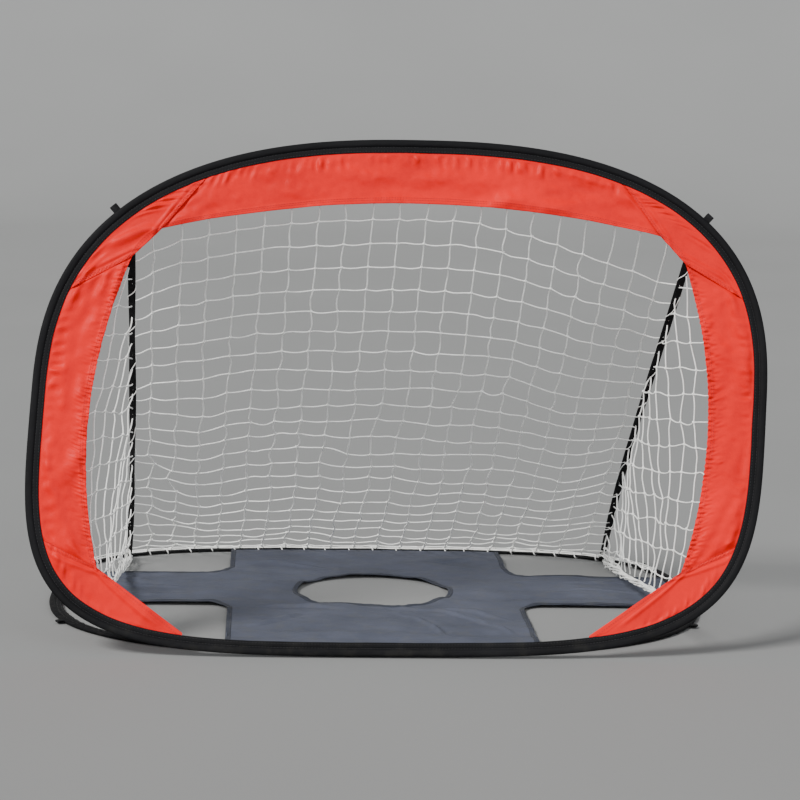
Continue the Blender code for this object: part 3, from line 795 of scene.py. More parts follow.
def shape_ends(kind, out, thick, distance, width, along):
    """A corner panel's raised seams, or another panel's ends that dip under them."""
    whole = along[-1][None]
    if kind.startswith("front_corner"):
        ends = [whole] if kind == "front_corner_lower" else [0 * whole, whole]
        seam = seam_profile(along, distance, ends)
        seam = seam * (1 - smooth(distance, (width - 0.017)[:, None], (width - 0.0068)[:, None]))
        return out + np.maximum(seam, -0.0004), thick + 0.4 * np.clip(seam, 0, 0.0008)
    close = np.minimum(along, whole - along)
    return out * smooth(close, 0.004, 0.020) - 0.0011 * (1 - smooth(close, 0.004, 0.012)), thick


def close_panel_sides(pile, columns, rows, forward):
    """The narrow faces that close a panel's cloth at its first and last column."""
    count = 2 * rows
    for base, turned in ((0, not forward), ((columns - 1) * count, forward)):
        quads = [(base + j, base + j + 1, base + count - 2 - j, base + count - 1 - j)
                 for j in range(rows - 1)]
        quads = np.array(quads)
        if turned:
            quads = quads[:, ::-1]
        pile.add(np.empty((0, 3)), quads - pile.total, np.zeros((4 * len(quads), 2)))


def make_panel(kind, word, side, runs, seed):
    """One sewn panel of the red border, with its hem, its folds and its stitches."""
    name = kind + ("_" + word if word else "")
    outer, inner = runs
    lap = 0 if kind.startswith("front_corner") else PANEL_LAP
    spot, distance, width = panel_grid(outer, inner, side, lap)
    columns, rows = distance.shape
    along_hem = travelled(spot[:, 0])
    along = np.zeros_like(distance)
    along[1:] = np.cumsum(np.linalg.norm(np.diff(spot, axis=0), axis=2), axis=0)
    out = panel_relief(kind, spot, distance, width, along, seed)
    thick = hem_thickness(kind, distance, width[:, None], along)
    out, thick = shape_ends(kind, out, thick, distance, width, along)
    half = PANEL_HALF + thick / 2
    half = half * (0.25 + 0.75 * smooth(distance, 0.0, 0.0009))
    if kind == "front_panel_side":
        ripple = waves(seed + 2, 0.0052, 0.0085, 7)
        scallop = 0.00055 * ripple(along, 0 * along) * np.exp(-distance / 0.004)
        way = (spot[:, -1] - spot[:, 0]) / width[:, None]
        spot = spot + way[:, None] * scallop[..., None]
    front = on_stand(spot, out + half)
    back = on_stand(spot, out - half)
    pile = Pile()
    loop = np.concatenate([front, back[:, ::-1]], 1)
    places = np.concatenate([distance.mean(0), -distance.mean(0)[::-1]])
    forward = side > 0
    add_grid(pile, loop, along_hem, np.append(places, places[0]), closed_columns=True, flip=forward)
    close_panel_sides(pile, columns, rows, forward)
    item = pile.build(name + "_cloth", RED_CLOTH)
    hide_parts(name)
    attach(item, "front_hoop")
    add_panel_stitches(name, kind, front, back, distance, along)


def add_panel_stitches(name, kind, front, back, distance, along):
    """Rows along the hem and, on a corner panel, along each seam, on both faces."""
    threads = Pile()
    whole = along[-1][None]
    lower = kind == "front_corner_lower"
    flat = np.zeros((1, 2))
    outward = on_stand(flat, np.array([1.0])) - on_stand(flat, np.array([0.0]))
    for face, sign in ((front, 1.0), (back, -1.0)):
        normal = np.repeat(outward * sign, len(face), 0)
        for hem_row in HEM_ROWS[:1] if lower else HEM_ROWS:
            chosen = np.argmin(np.abs(distance - hem_row), axis=1)
            line = face[np.arange(len(face)), chosen]
            add_stitches(threads, line, normal, STITCH_PITCH, *PANEL_STITCH)
        if not kind.startswith("front_corner"):
            continue
        for seam_at in (whole,) if lower else (whole, 0 * whole):
            for off in SEAM_ROWS:
                chosen = np.argmin(np.abs(np.abs(along - seam_at) - off), axis=0)
                line = face[chosen, np.arange(face.shape[1])][:-6]
                normal = np.repeat(outward * sign, len(line), 0)
                add_stitches(threads, line, normal, STITCH_PITCH, *PANEL_STITCH)
    stitches = threads.build(name + "_stitches", RED_THREAD)
    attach(stitches, "front_hoop")


# --------------------------------------------------------------- target sheet

def corner_arc(centre, radius, start_deg, end_deg):
    angle = np.radians(np.linspace(start_deg, end_deg, 14))
    return np.stack([centre[0] + radius * np.cos(angle), centre[1] + radius * np.sin(angle)], 1)


def front_hole_edge():
    r = FRONT_CORNER_RADIUS
    return corner_arc((BAND_HALF_WIDTH + r, ARM_FRONT - r), r, 180.0, 90.0)


def rear_hole_edge():
    r = REAR_CORNER_RADIUS
    return corner_arc((BAND_HALF_WIDTH + r, ARM_REAR + r), r, 270.0, 180.0)


def edge_y(ring, x, rear):
    part = ring[(ring[:, 1] > BASE_DEPTH / 2) == rear]
    part = part[np.argsort(part[:, 0])]
    return float(np.interp(x, part[:, 0], part[:, 1]))


def edge_x(ring, y):
    part = ring[ring[:, 0] > 0]
    part = part[np.argsort(part[:, 1])]
    return float(np.interp(y, part[:, 1], part[:, 0]))


def sheet_outline():
    """The target sheet's cut edge, with its arms between the four corner holes."""
    edge = resample(inset(BASE, CLOTH_INSET + 0.001), 700, closed=True)
    band = BAND_HALF_WIDTH
    front, rear = (band, edge_y(edge, band, False)), (band, edge_y(edge, band, True))
    low, high = (edge_x(edge, ARM_FRONT), ARM_FRONT), (edge_x(edge, ARM_REAR), ARM_REAR)
    keep = 0.003
    flank = edge[(edge[:, 0] > 0) & (edge[:, 1] > ARM_FRONT + keep) & (edge[:, 1] < ARM_REAR - keep)]
    right = np.vstack([[front], front_hole_edge(), [low], flank, [high], rear_hole_edge(), [rear]])
    middle = np.abs(edge[:, 0]) < band - keep
    front_run = edge[middle & (edge[:, 1] < BASE_DEPTH / 2)]
    rear_run = edge[middle & (edge[:, 1] > BASE_DEPTH / 2)]
    front_run = front_run[np.argsort(front_run[:, 0])]
    rear_run = rear_run[np.argsort(-rear_run[:, 0])]
    return np.vstack([front_run, right, rear_run, on_side(right[::-1], -1)])


def centre_hole():
    angle = np.arange(96) * 2 * math.pi / 96
    return np.stack([CENTRE_HOLE_RADII[0] * np.cos(angle),
                     CENTRE_HOLE_Y + CENTRE_HOLE_RADII[1] * np.sin(angle)], 1)


def inside(points, ring):
    """Which points lie inside a closed ring."""
    x, y = points[:, 0][:, None], points[:, 1][:, None]
    ax, ay = ring[:, 0][None], ring[:, 1][None]
    bx, by = np.roll(ring[:, 0], -1)[None], np.roll(ring[:, 1], -1)[None]
    crosses = ((ay > y) != (by > y)) & (x < (bx - ax) * (y - ay) / (by - ay + 1e-15) + ax)
    return crosses.sum(1) % 2 == 1


SHEET_BROAD = waves(41, 0.10, 0.34)
SHEET_PULL = waves(43, 0.040, 0.105, 9)
SHEET_FINE = waves(47, 0.016, 0.034, 8)


def sheet_lift(points):
    """Height of the target sheet above its plane: soft pulls across it and a few creases."""
    x, y = points[..., 0], points[..., 1]
    flat = points.reshape(-1, 2)
    ring = BASE[::6]
    gaps = np.empty(len(flat))
    for k in range(0, len(flat), 4000):
        part = flat[k:k + 4000]
        gaps[k:k + 4000] = np.sqrt(((part[:, None] - ring[None]) ** 2).sum(-1)).min(1)
    hold = smooth(gaps.reshape(x.shape), 0.020, 0.075)
    lift = 0.0014 + 0.0018 * SHEET_BROAD(x, y)
    lift = lift + 0.0030 * SHEET_PULL(0.24 * x, y + 0.06 * np.sin(3.1 * x))
    lift = lift + 0.0007 * SHEET_FINE(0.5 * x, y)
    for crease in SHEET_CREASES:
        lift = lift + crease_lift(x, y, *crease)
    lift = np.where(lift < 0, 0.7 * lift, lift)
    return np.clip(hold * lift, -0.0031, 0.0085)


def crease_lift(x, y, start, end, curl, height, width):
    """A soft ridge from start to end that bows sideways by curl and dies out at its ends."""
    start, end = np.array(start), np.array(end)
    way = end - start
    whole = math.hypot(*way)
    way = way / whole
    along = (x - start[0]) * way[0] + (y - start[1]) * way[1]
    aside = (y - start[1]) * way[0] - (x - start[0]) * way[1]
    aside = aside - curl * np.sin(math.pi * np.clip(along / whole, 0, 1))
    ends = smooth(along, 0.0, 0.35 * whole) * (1 - smooth(along, 0.65 * whole, whole))
    return height * ends * (bump(aside, 0, width) - 0.5 * bump(aside, 1.7 * width, 1.2 * width))


# Creases of the target sheet: start, end, sideways bow, height and half width
SHEET_CREASES = (
    ((0.020, 0.345), (0.235, 0.120), 0.030, 0.0068, 0.0052),
    ((0.060, 0.325), (0.250, 0.215), 0.022, 0.0060, 0.0056),
    ((0.000, 0.330), (0.120, 0.080), 0.016, 0.0042, 0.0056),
    ((-0.060, 0.310), (-0.240, 0.330), -0.018, 0.0062, 0.0056),
    ((-0.120, 0.300), (-0.235, 0.180), 0.012, 0.0042, 0.0056),
    ((-0.235, 0.700), (-0.060, 0.640), 0.014, 0.0040, 0.0060),
    ((0.080, 0.690), (0.250, 0.770), -0.012, 0.0040, 0.0066),
    ((0.300, 0.470), (0.530, 0.430), 0.012, 0.0050, 0.0052),
    ((0.330, 0.540), (0.530, 0.560), -0.008, 0.0040, 0.0060),
    ((-0.530, 0.500), (-0.280, 0.470), 0.010, 0.0046, 0.0058),
    ((-0.520, 0.400), (-0.330, 0.420), 0.010, 0.0042, 0.0052),
    ((-0.200, 0.090), (0.130, 0.070), 0.010, 0.0032, 0.0060),
)


SHEET_STEP = 0.0045
SHEET_RIM_GAP = 0.0026


def filling_points(outline, hole):
    """Even points all over the flat sheet, a little clear of its edges."""
    xs = np.arange(-0.60, 0.60, SHEET_STEP)
    ys = np.arange(0.0, 0.86, SHEET_STEP * 0.866)
    gx, gy = np.meshgrid(xs, ys)
    gx = gx + SHEET_STEP / 2 * (np.arange(len(ys)) % 2)[:, None]
    inner = np.stack([gx.ravel(), gy.ravel()], 1)
    inner = inner[inside(inner, outline) & ~inside(inner, hole)]
    rims = np.vstack([outline, hole])
    near = np.sqrt(((inner[:, None] - rims[None]) ** 2).sum(-1)).min(1)
    return inner[near > SHEET_RIM_GAP]


def sheet_triangles(outline, hole):
    """Points and triangles of the flat sheet, without its middle hole."""
    points = np.vstack([outline, hole, filling_points(outline, hole)])
    m, n = len(outline), len(hole)
    edges = [(k, (k + 1) % m) for k in range(m)] + [(m + k, m + (k + 1) % n) for k in range(n)]
    made = delaunay_2d_cdt([Vector(p) for p in points], edges, [], 0, 1e-6)
    verts = np.array([tuple(v) for v in made[0]])
    tris = np.array([f for f in made[2] if len(f) == 3])
    middle = verts[tris].mean(1)
    tris = tris[inside(middle, outline) & ~inside(middle, hole)]
    used, tris = np.unique(tris, return_inverse=True)
    return verts[used], tris.reshape(-1, 3)


def make_target_sheet():
    """One slate cloth stretched in the lower hoop, cut with five holes."""
    verts, tris = sheet_triangles(sheet_outline(), centre_hole())
    pile = Pile()
    pile.add(on_base(verts, sheet_lift(verts)), tris, verts[tris])
    item = pile.build("target_sheet_cloth", SLATE_CLOTH)
    solid = item.modifiers.new("cloth", "SOLIDIFY")
    solid.thickness = 0.0006
    solid.offset = 0.0
    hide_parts("target_sheet")
    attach(item, "base_hoop")


# A hole binding's section: how far in over the sheet, and how high above or below it
BINDING_IN = np.array([8.2, 8.0, 7.0, 5.0, 3.0, 1.2, 0.2, -0.5,
                       -0.8, -0.5, 0.2, 1.2, 3.0, 5.0, 7.0, 8.0]) * 0.001
BINDING_RISE = np.array([0.0, 0.7, 1.0, 1.15, 1.2, 1.25, 1.15, 0.8,
                         0.0, -0.8, -1.15, -1.25, -1.2, -1.15, -1.0, -0.7]) * 0.001
BINDING_ROW = 0.0058
BINDING_STEP = 0.0035


def binding_points(name, ring, way, reach):
    """The strip's section carried along its path, lying on the sheet's relief."""
    rise = BINDING_RISE - np.sign(BINDING_RISE) * 0.00025 * bump(BINDING_IN, BINDING_ROW, 0.0007)
    ruffle = waves(len(name) * 7 + 3, 0.009, 0.020)
    spot = ring[:, None] + way[:, None] * BINDING_IN[None, :, None]
    wobble = 0.00022 * ruffle(reach[:len(ring), None] + 0 * BINDING_IN[None], BINDING_IN[None] * 2)
    lift = sheet_lift(spot) + rise[None] + wobble
    return on_base(spot, np.maximum(lift, -SLEEVE_MIDDLE + 0.0003))


def make_binding(name, path, side, closed, thread_pile):
    """A folded strip over the sheet's cut edge; the sheet lies to the left of the path times side."""
    ring = resample(path, max(40, int(length_of(path) / BINDING_STEP)), closed=closed)
    if closed:
        along = np.roll(ring, -1, 0) - np.roll(ring, 1, 0)
    else:
        along = np.gradient(ring, axis=0)
    along /= np.linalg.norm(along, axis=1)[:, None]
    way = np.stack([-along[:, 1], along[:, 0]], 1) * side
    reach = travelled(closed_up(ring) if closed else ring)
    points = binding_points(name, ring, way, reach)
    if not closed:
        tips = points * 0 + points.mean(1, keepdims=True)
        points = np.concatenate([tips[:1], points, tips[-1:]], 0)
        reach = np.concatenate([reach[:1], reach, reach[-1:]])
    pile = Pile()
    places = np.arange(len(BINDING_IN) + 1) * 0.0011
    add_grid(pile, points, reach, places, closed_rows=closed, closed_columns=True, flip=side > 0)
    item = pile.build(name + "_tape", BINDING_CLOTH)
    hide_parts(name)
    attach(item, "base_hoop")
    stitched = ring + way * BINDING_ROW
    line = on_base(stitched, sheet_lift(stitched) + 0.00125)
    if closed:
        line = closed_up(line)
    add_stitches(thread_pile, line, np.repeat(np.array([[0.0, 0.0, 1.0]]), len(line), 0), 0.0044)


def make_bindings():
    threads = Pile()
    lips = inset(BASE, SLEEVE_WIDTH - 0.0035)
    band = BAND_HALF_WIDTH
    front = np.vstack([[(band, edge_y(lips, band, False))], front_hole_edge(),
                       [(edge_x(lips, ARM_FRONT), ARM_FRONT)]])
    rear = np.vstack([[(band, edge_y(lips, band, True))], rear_hole_edge()[::-1],
                      [(edge_x(lips, ARM_REAR), ARM_REAR)]])
    make_binding("hole_binding_centre", centre_hole(), -1, True, threads)
    for word, side in SIDES:
        make_binding("hole_binding_front_" + word, on_side(front, side), side, False, threads)
        make_binding("hole_binding_rear_" + word, on_side(rear, side), -side, False, threads)
    stitches = threads.build("hole_binding_stitches", SLATE_THREAD)
    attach(stitches, "base_hoop")


# ------------------------------------------------------------------ net, cords

def net_top(x):
    """Height of the mouth's upper edge across the top and its two corners."""
    reach = np.abs(x)
    corner = TOP_HEM_HEIGHT - TOP_HEM_BOW * TOP_CORNER_X ** 2
    fall = (corner - SIDE_CORNER[1]) / (SIDE_CORNER[0] - TOP_CORNER_X)
    return np.where(reach <= TOP_CORNER_X, TOP_HEM_HEIGHT - TOP_HEM_BOW * reach ** 2,
                    corner - fall * (reach - TOP_CORNER_X))


def behind_hem(x, y, rise):
    """Point of the standing hoop's plane by its unswayed place, `rise` before its axis plane."""
    spot = np.stack([x + STAND_SWAY * y, y], -1)
    return on_stand(spot, rise - STAND_OFFSET + 0 * x)


REAR_LIP = inset(BASE, SLEEVE_WIDTH + STRAP_FOOT_GAP)
REAR_RUN = REAR_LIP[REAR_LIP[:, 1] > BASE_DEPTH / 2]
REAR_RUN = REAR_RUN[np.argsort(REAR_RUN[:, 0])]


def rear_lip_y(x):
    return np.interp(x, REAR_RUN[:, 0], REAR_RUN[:, 1])


def strap_top(side):
    return behind_hem(np.array(side * SIDE_CORNER[0]), np.array(SIDE_CORNER[1] + STRAP_HEM_RISE),
                      2 * NET_BEHIND_HEM)


def strap_foot(side):
    return np.array([side * STRAP_FOOT_X, rear_lip_y(STRAP_FOOT_X), SLEEVE_MIDDLE])


def strap_line(side, part):
    """The strap's middle: a nearly straight pull that gives a little low down."""
    part = np.asarray(part, float)
    line = strap_top(side) + (strap_foot(side) - strap_top(side)) * part[..., None]
    slack = np.sin(math.pi * part) * (0.4 + part) * (0.010 if side > 0 else 0.005)
    return line + np.stack([-side * slack, -0.3 * slack, -0.5 * slack], -1)


def rear_net(span, down):
    """The rear net's resting surface by fractions across and down."""
    reach = SIDE_CORNER[0] - STRAP_CLEARANCE
    x_top = span * reach
    top = behind_hem(x_top, net_top(x_top) + NET_HEM_OVERLAP, NET_BEHIND_HEM)
    x_foot = span * (STRAP_FOOT_X - STRAP_CLEARANCE)
    foot = np.stack([x_foot, rear_lip_y(x_foot), NET_FOOT_HEIGHT + 0 * x_foot], -1)
    sag = NET_SAG * 4 * down * (1 - down) * (1 - np.minimum(np.abs(span), 1.0) ** 2.8)
    return top + (foot - top) * down[..., None] + NET_SAG_DIRECTION * sag[..., None]


def side_net(side, across, down):
    """A side net's resting surface, from the side hem back to the strap."""
    start = SIDE_CORNER[1] - SIDE_NET_DROP
    y = start + (SIDE_NET_LOW - start) * down
    front = behind_hem(side * (side_hem_x(y) + SIDE_NET_HEM_OVERLAP), y, NET_BEHIND_HEM)
    first, last = SIDE_NET_ON_STRAP
    rear = strap_line(side, first + (last - first) * down)
    deepest = SIDE_NET_SAG if side > 0 else 0.4 * SIDE_NET_SAG
    sag = deepest * np.sin(math.pi * across) * np.sin(math.pi * down)
    return front + (rear - front) * across[..., None] + np.array([-side, 0.0, 0.0]) * sag[..., None]


def fold_shares(item):
    """Reads where the piece's points are; nothing is made from them."""
    count = len(item.data.vertices)
    co = np.zeros(count * 3, np.float32)
    item.data.vertices.foreach_get("co", co)
    co = co.reshape(-1, 3)


def hang_between(item):
    """Bakes the piece's placement into its points and reads them."""
    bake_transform(item)
    fold_shares(item)


def cord_through(nodes, draw, steps=6, sag=0.0022, wander=0.0012):
    """A path through knots, with slack between them."""
    nodes = np.asarray(nodes)
    parts = []
    for a, b in zip(nodes[:-1], nodes[1:]):
        t = np.linspace(0, 1, steps + 1)[:-1, None]
        swell = np.sin(math.pi * t)
        push = draw.normal(0, wander, 3)
        push[2] -= sag * draw.uniform(0.3, 1.3) * min(np.linalg.norm((b - a)[:2]) / MESH, 1.0)
        kink = draw.normal(0, wander * 0.35, 3) * np.sin(2 * math.pi * t)
        parts.append(a + (b - a) * t + swell * push + kink)
    parts.append(nodes[-1:])
    return np.vstack(parts)


def add_knot(pile, centre, along, across, size=0.0019):
    """A small sheet-bend: a thread wound once and a half about the crossing."""
    along = along / (np.linalg.norm(along) + 1e-12)
    across = across - along * (across @ along)
    across /= np.linalg.norm(across) + 1e-12
    up = np.cross(along, across)
    turn = np.linspace(0, 3 * math.pi, 13)
    path = centre + along * np.linspace(-size, size, 13)[:, None] \
        + (across * np.cos(turn)[:, None] + up * np.sin(turn)[:, None]) * size * 0.85
    add_tube(pile, path, TWINE * 0.82, 5)


REAR_COLUMNS = 20
REAR_ROWS = 23


def rear_down(span, row):
    """How far down a row's knots hang: a mesh apart above, bunched below where the net is slack.

    The rows start lower at the sides, most of all on the right, and crowd sooner there.
    """
    part = np.asarray(row) / REAR_ROWS
    edge = np.abs(span)
    first = 0.035 + 0.012 * smooth(edge, 0.5, 1.0)
    first = first + np.where(span > 0, 0.062 * smooth(span, 0.15, 1.0), 0.0)
    crowd = smooth(edge, 0.35, 1.0)
    pace = 1.10 + np.where(span > 0, 0.19, 0.30 * edge ** 2) * crowd
    power = 8.0 - 5.8 * crowd
    return first + (1 - first) * (pace * part - (pace - 1) * part ** power)


def strap_meeting(side, last, before):
    """The strap's point that carries a row on past its last knot at the same slope."""
    part = np.linspace(0.004, 0.992, 200)
    line = strap_line(side, part)
    step = abs(side * STRAP_FOOT_X - last[0]) / abs(last[0] - before[0])
    height = last[2] + 0.75 * min(step, 1.2) * (last[2] - before[2])
    return line[np.argmin(np.abs(line[:, 2] - height))]


def rear_knots(draw, spans):
    """Places of the rear net's knots by row and column, from even spans across it."""
    wander_x = waves(61, 0.12, 0.45)
    wander_y = waves(62, 0.12, 0.45)
    lift = waves(63, 0.10, 0.40)
    span, row = np.meshgrid(spans, np.arange(REAR_ROWS))
    slack = smooth(row / REAR_ROWS, 0.05, 0.5) * (1 - 0.6 * smooth(row / REAR_ROWS, 0.85, 1.0))
    place = (span * 0.45, row * MESH)
    jitter_x = draw.normal(0, 0.0040, span.shape) * slack + 0.010 * wander_x(*place) * slack
    jitter_y = draw.normal(0, 0.0022, span.shape) * slack + 0.0040 * wander_y(*place) * slack
    left_low = smooth(-span, 0.62, 0.95) * smooth(row, 8, 14)
    jitter_x = jitter_x + left_low * draw.normal(0, 0.013, span.shape)
    jitter_y = jitter_y + left_low * draw.normal(0, 0.007, span.shape)
    down = np.clip(rear_down(span, row) + jitter_y * (1 - smooth(row, 17, 21)), 0.0, 0.996)
    knots = rear_net(span + jitter_x, down)
    out = 0.006 * lift(*place) * slack
    knots = knots + NET_SAG_DIRECTION * out[..., None]
    knots[..., 2] = np.maximum(knots[..., 2], 0.0078)
    return knots


def make_rear_net():
    """Level and upright cords from strap to strap and hem to hoop, knotted where they cross."""
    draw = np.random.default_rng(5)
    spans = (np.arange(REAR_COLUMNS) + 0.5) / (REAR_COLUMNS / 2) - 1
    knots = rear_knots(draw, spans)
    pile = Pile()
    for j in range(REAR_ROWS):
        left = strap_meeting(-1, knots[j, 0], knots[j, 1])
        right = strap_meeting(1, knots[j, -1], knots[j, -2])
        line = np.vstack([left[None], knots[j], right[None]])
        add_tube(pile, cord_through(line, draw, sag=0.0016), TWINE)
    for i in range(REAR_COLUMNS):
        hem = rear_net(np.array([spans[i]]), np.array([-0.002]))[0] + np.array([0.0, 0.0022, 0.0004])
        foot = rear_net(np.array([spans[i]]), np.array([0.999]))[0] + np.array([0.0, 0.0150, -0.0010])
        line = np.vstack([[hem], knots[:, i], [foot]])
        add_tube(pile, cord_through(line, draw, sag=0.0004, wander=0.0015), TWINE)
    for j in range(REAR_ROWS):
        for i in range(REAR_COLUMNS):
            along = knots[j, min(i + 1, REAR_COLUMNS - 1)] - knots[j, max(i - 1, 0)]
            across = knots[min(j + 1, REAR_ROWS - 1), i] - knots[max(j - 1, 0), i]
            add_knot(pile, knots[j, i], along, across)
    item = pile.build("net_rear_cords", NET_TWINE)
    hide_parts("net_rear")
    hang_between(item)


SIDE_ROWS = 12


def side_net_point(side, across, down):
    return side_net(side, np.array([across]), np.array([down]))[0]


def add_side_rows(pile, side, draw, pitch, downs, widths):
    """Level cords from the side hem to the strap; gives the knots' places by row and column."""
    lift = waves(71 + side, 0.10, 0.35)
    knots = {}
    for j, (down, width) in enumerate(zip(downs, widths)):
        count = max(0, int((width - 0.3 * pitch) / pitch))
        places = [(k + 0.75) * pitch / width for k in range(count)]
        places = [p for p in places if p < 1 - 0.25 * pitch / width]
        for k, place in enumerate(places):
            spot = side_net_point(side, place + draw.normal(0, 0.0025) / width,
                                  down + draw.normal(0, 0.004))
            inwards = -side * 0.005 * float(lift(place * width, down))
            knots[(j, k)] = spot + np.array([inwards, 0.0, 0.0])
        row = [knots[(j, k)] for k in range(len(places))]
        line = [side_net_point(side, 0.0, down)] + row + [side_net_point(side, 1.0, down)]
        add_tube(pile, cord_through(line, draw, sag=0.0010), TWINE)
    return knots


def add_side_uprights(pile, side, draw, pitch, downs, widths, knots):
    """Upright cords from the strap through the knots to the gathered lower edge."""
    for k in range(max(column for _, column in knots) + 1):
        rows = [j for j in range(SIDE_ROWS) if (j, k) in knots]
        before = max(downs[rows[0]] - 0.6 / SIDE_ROWS, 0.0)
        start = side_net_point(side, 0.6, 0.0) if k == 0 else side_net_point(side, 1.0, before)
        foot = side_net_point(side, min((k + 0.75) * pitch / widths[-1], 0.99), 1.0)
        line = [start] + [knots[(j, k)] for j in rows] + [foot]
        add_tube(pile, cord_through(line, draw, sag=0.0006), TWINE)


def make_side_net(word, side):
    """Knotted net between the side hem and the strap, with fewer upright cords on the left."""
    draw = np.random.default_rng(17 + side)
    pitch = MESH if side > 0 else 1.35 * MESH
    downs = (np.arange(SIDE_ROWS) + 0.45) / SIDE_ROWS
    widths = [np.linalg.norm(side_net_point(side, 1.0, down) - side_net_point(side, 0.0, down))
              for down in downs]
    pile = Pile()
    knots = add_side_rows(pile, side, draw, pitch, downs, widths)
    add_side_uprights(pile, side, draw, pitch, downs, widths, knots)
    for (j, k), spot in knots.items():
        ahead = knots.get((j, k + 1), knots.get((j, k - 1), spot + np.array([0, 0.01, 0])))
        below = knots.get((j + 1, k), knots.get((j - 1, k), spot + np.array([0, 0, 0.01])))
        add_knot(pile, spot, ahead - spot, below - spot)
    add_bundle(pile, side)
    item = pile.build("net_side_" + word + "_cords", NET_TWINE)
    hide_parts("net_side_" + word)
    hang_between(item)


def add_bundle(pile, side):
    """A side net's gathered lower edge: slack cords loosely twisted, fanning out at the strap."""
    part = np.linspace(0.012, 1.0, 110)
    middle = side_net(side, part, np.ones_like(part))
    middle[:, 2] -= 0.010 * np.sin(math.pi * part)
    loose = waves(83 + side, 0.05, 0.22)
    for strand in range(10):
        turn = strand * 2 * math.pi / 10 + part * (9 + 2.3 * (strand % 5))
        reach = 0.0016 + 0.0024 * smooth(part, 0.02, 0.25) + 0.0060 * smooth(part, 0.55, 1.0)
        reach = reach * (0.8 + 0.5 * loose(part, 0 * part + strand))
        aside, high = np.cos(turn) * reach, np.sin(turn) * reach
        path = middle + np.stack([aside, 0.4 * high, high], -1)
        path[:, 2] = np.maximum(path[:, 2], 0.0068)
        add_tube(pile, path, TWINE)


# Webbing's half width and half thickness
STRAP_SIZE = (0.0064, 0.0007)
STRAP_PATCH_SIZE = (0.0060, 0.0007)
LOOP_SIZE = (0.0065, 0.00048)
TAPE_SIZE = (0.0055, 0.0004)
LACING_PITCH = 0.084
LACING_REACH = (0.0066, 0.0050)


def strap_frames(line):
    """Directions along a strap, across its width and out of its face, when it isn't twisted."""
    along, _, _ = path_frames(line)
    wide = np.array([1.0, 0.0, 0.0]) - along * along[:, :1]
    wide /= np.linalg.norm(wide, axis=1)[:, None]
    return along, wide, np.cross(along, wide)


def make_strap(word, side):
    """Ribbed webbing from the mouth's corner to the lower hoop's rear corner."""
    part = np.linspace(0.0, 1.0, 90)
    path = strap_line(side, part)
    along, wide, face = strap_frames(path)
    twist = 0.50 * smooth(part, 0.06, 0.30) + 0.30 * np.sin(2 * math.pi * part * 2.2 + side)
    turned = wide * np.cos(twist)[:, None] + face * np.sin(twist)[:, None]
    turned_face = np.cross(along, turned)
    pile = Pile()
    add_band(pile, path, turned, turned_face, *STRAP_SIZE)
    patch = part < 0.05
    raised = path[patch] + turned_face[patch] * 0.0013
    add_band(pile, raised, turned[patch], turned_face[patch], *STRAP_PATCH_SIZE)
    item = pile.build("corner_strap_" + word + "_webbing", WEBBING)
    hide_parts("corner_strap_" + word)
    hang_between(item)


def make_strap_lacing(word, side):
    """Thin cord wound round the strap, which holds the net to it."""
    fine = np.linspace(0.02, 0.985, 700)
    line = strap_line(side, fine)
    _, wide, face = strap_frames(line)
    uneven = waves(91 + side, 0.06, 0.22)
    angle = 2 * math.pi * (length_of(line) / LACING_PITCH) * fine + 1.6 * uneven(fine, 0 * fine)
    across = np.cos(angle) * LACING_REACH[0]
    through = np.sin(angle) * LACING_REACH[1]
    lacing = Pile()
    add_tube(lacing, line + wide * across[:, None] + face * through[:, None], 0.7 * TWINE, 5)
    cords = lacing.build("corner_strap_" + word + "_lacing", NET_TWINE)
    hang_between(cords)


# Rear lacing: the whipped cord's middle and reach across the sleeve and its height, and the
# straight strands' distances in and heights
WHIP_MIDDLE = 0.0114
WHIP_REACH = 0.0124
WHIP_HEIGHT = 0.0058
REAR_STRANDS = ((0.0085, 0.0044), (0.0116, 0.0030), (0.0148, 0.0028))


def make_rear_lacing():
    """White cord whipped round the lower hoop's sleeve along the rear and its corners."""
    ring = resample(BASE, HOOP_POINTS, closed=True)
    start = nearest(ring, (0.55, 0.65))
    end = nearest(ring, (-0.55, 0.65))
    run = ring[start:end + 1]
    inward = inward_of(ring)[start:end + 1]
    reach = travelled(run)
    pile = Pile()
    fine = np.linspace(0, reach[-1], int(reach[-1] / MESH * 26))
    spot = read_off(run, reach, fine)
    way = read_off(inward, reach, fine)
    turn = fine / MESH + 0.10 * waves(97, 0.05, 0.2)(fine, 0 * fine)
    whole = np.floor(turn)
    angle = math.pi / 2 + 2 * math.pi * (whole + smooth(turn - whole, 0.30, 0.70))
    over = WHIP_MIDDLE + WHIP_REACH * np.cos(angle)
    path = on_base(spot + way * over[:, None], WHIP_HEIGHT * np.sin(angle))
    path[:, 2] = np.maximum(path[:, 2], TWINE + 0.0001)
    add_tube(pile, path, TWINE * 0.95, 5)
    for strand, (offset, lift) in enumerate(REAR_STRANDS):
        wave = waves(99 + strand, 0.04, 0.16)
        path = on_base(spot + way * (offset + 0.0010 * wave(fine, 0 * fine))[:, None], lift + 0 * fine)
        path[:, 2] += 0.0006 * wave(fine, 1 + 0 * fine)
        add_tube(pile, path[::3], TWINE * 0.95, 5)
    item = pile.build("rear_lacing", NET_TWINE)
    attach(item, "base_hoop")


# ------------------------------------------------------------- loops and tape

LOOP_REACH = 0.012
LOOP_BEND = 0.0014
LOOP_ROOT = 0.0005
TAPE_INSET = 0.01525
TAPE_HALF_LENGTH = 0.219
TAPE_ROWS = (-0.0038, 0.0038)


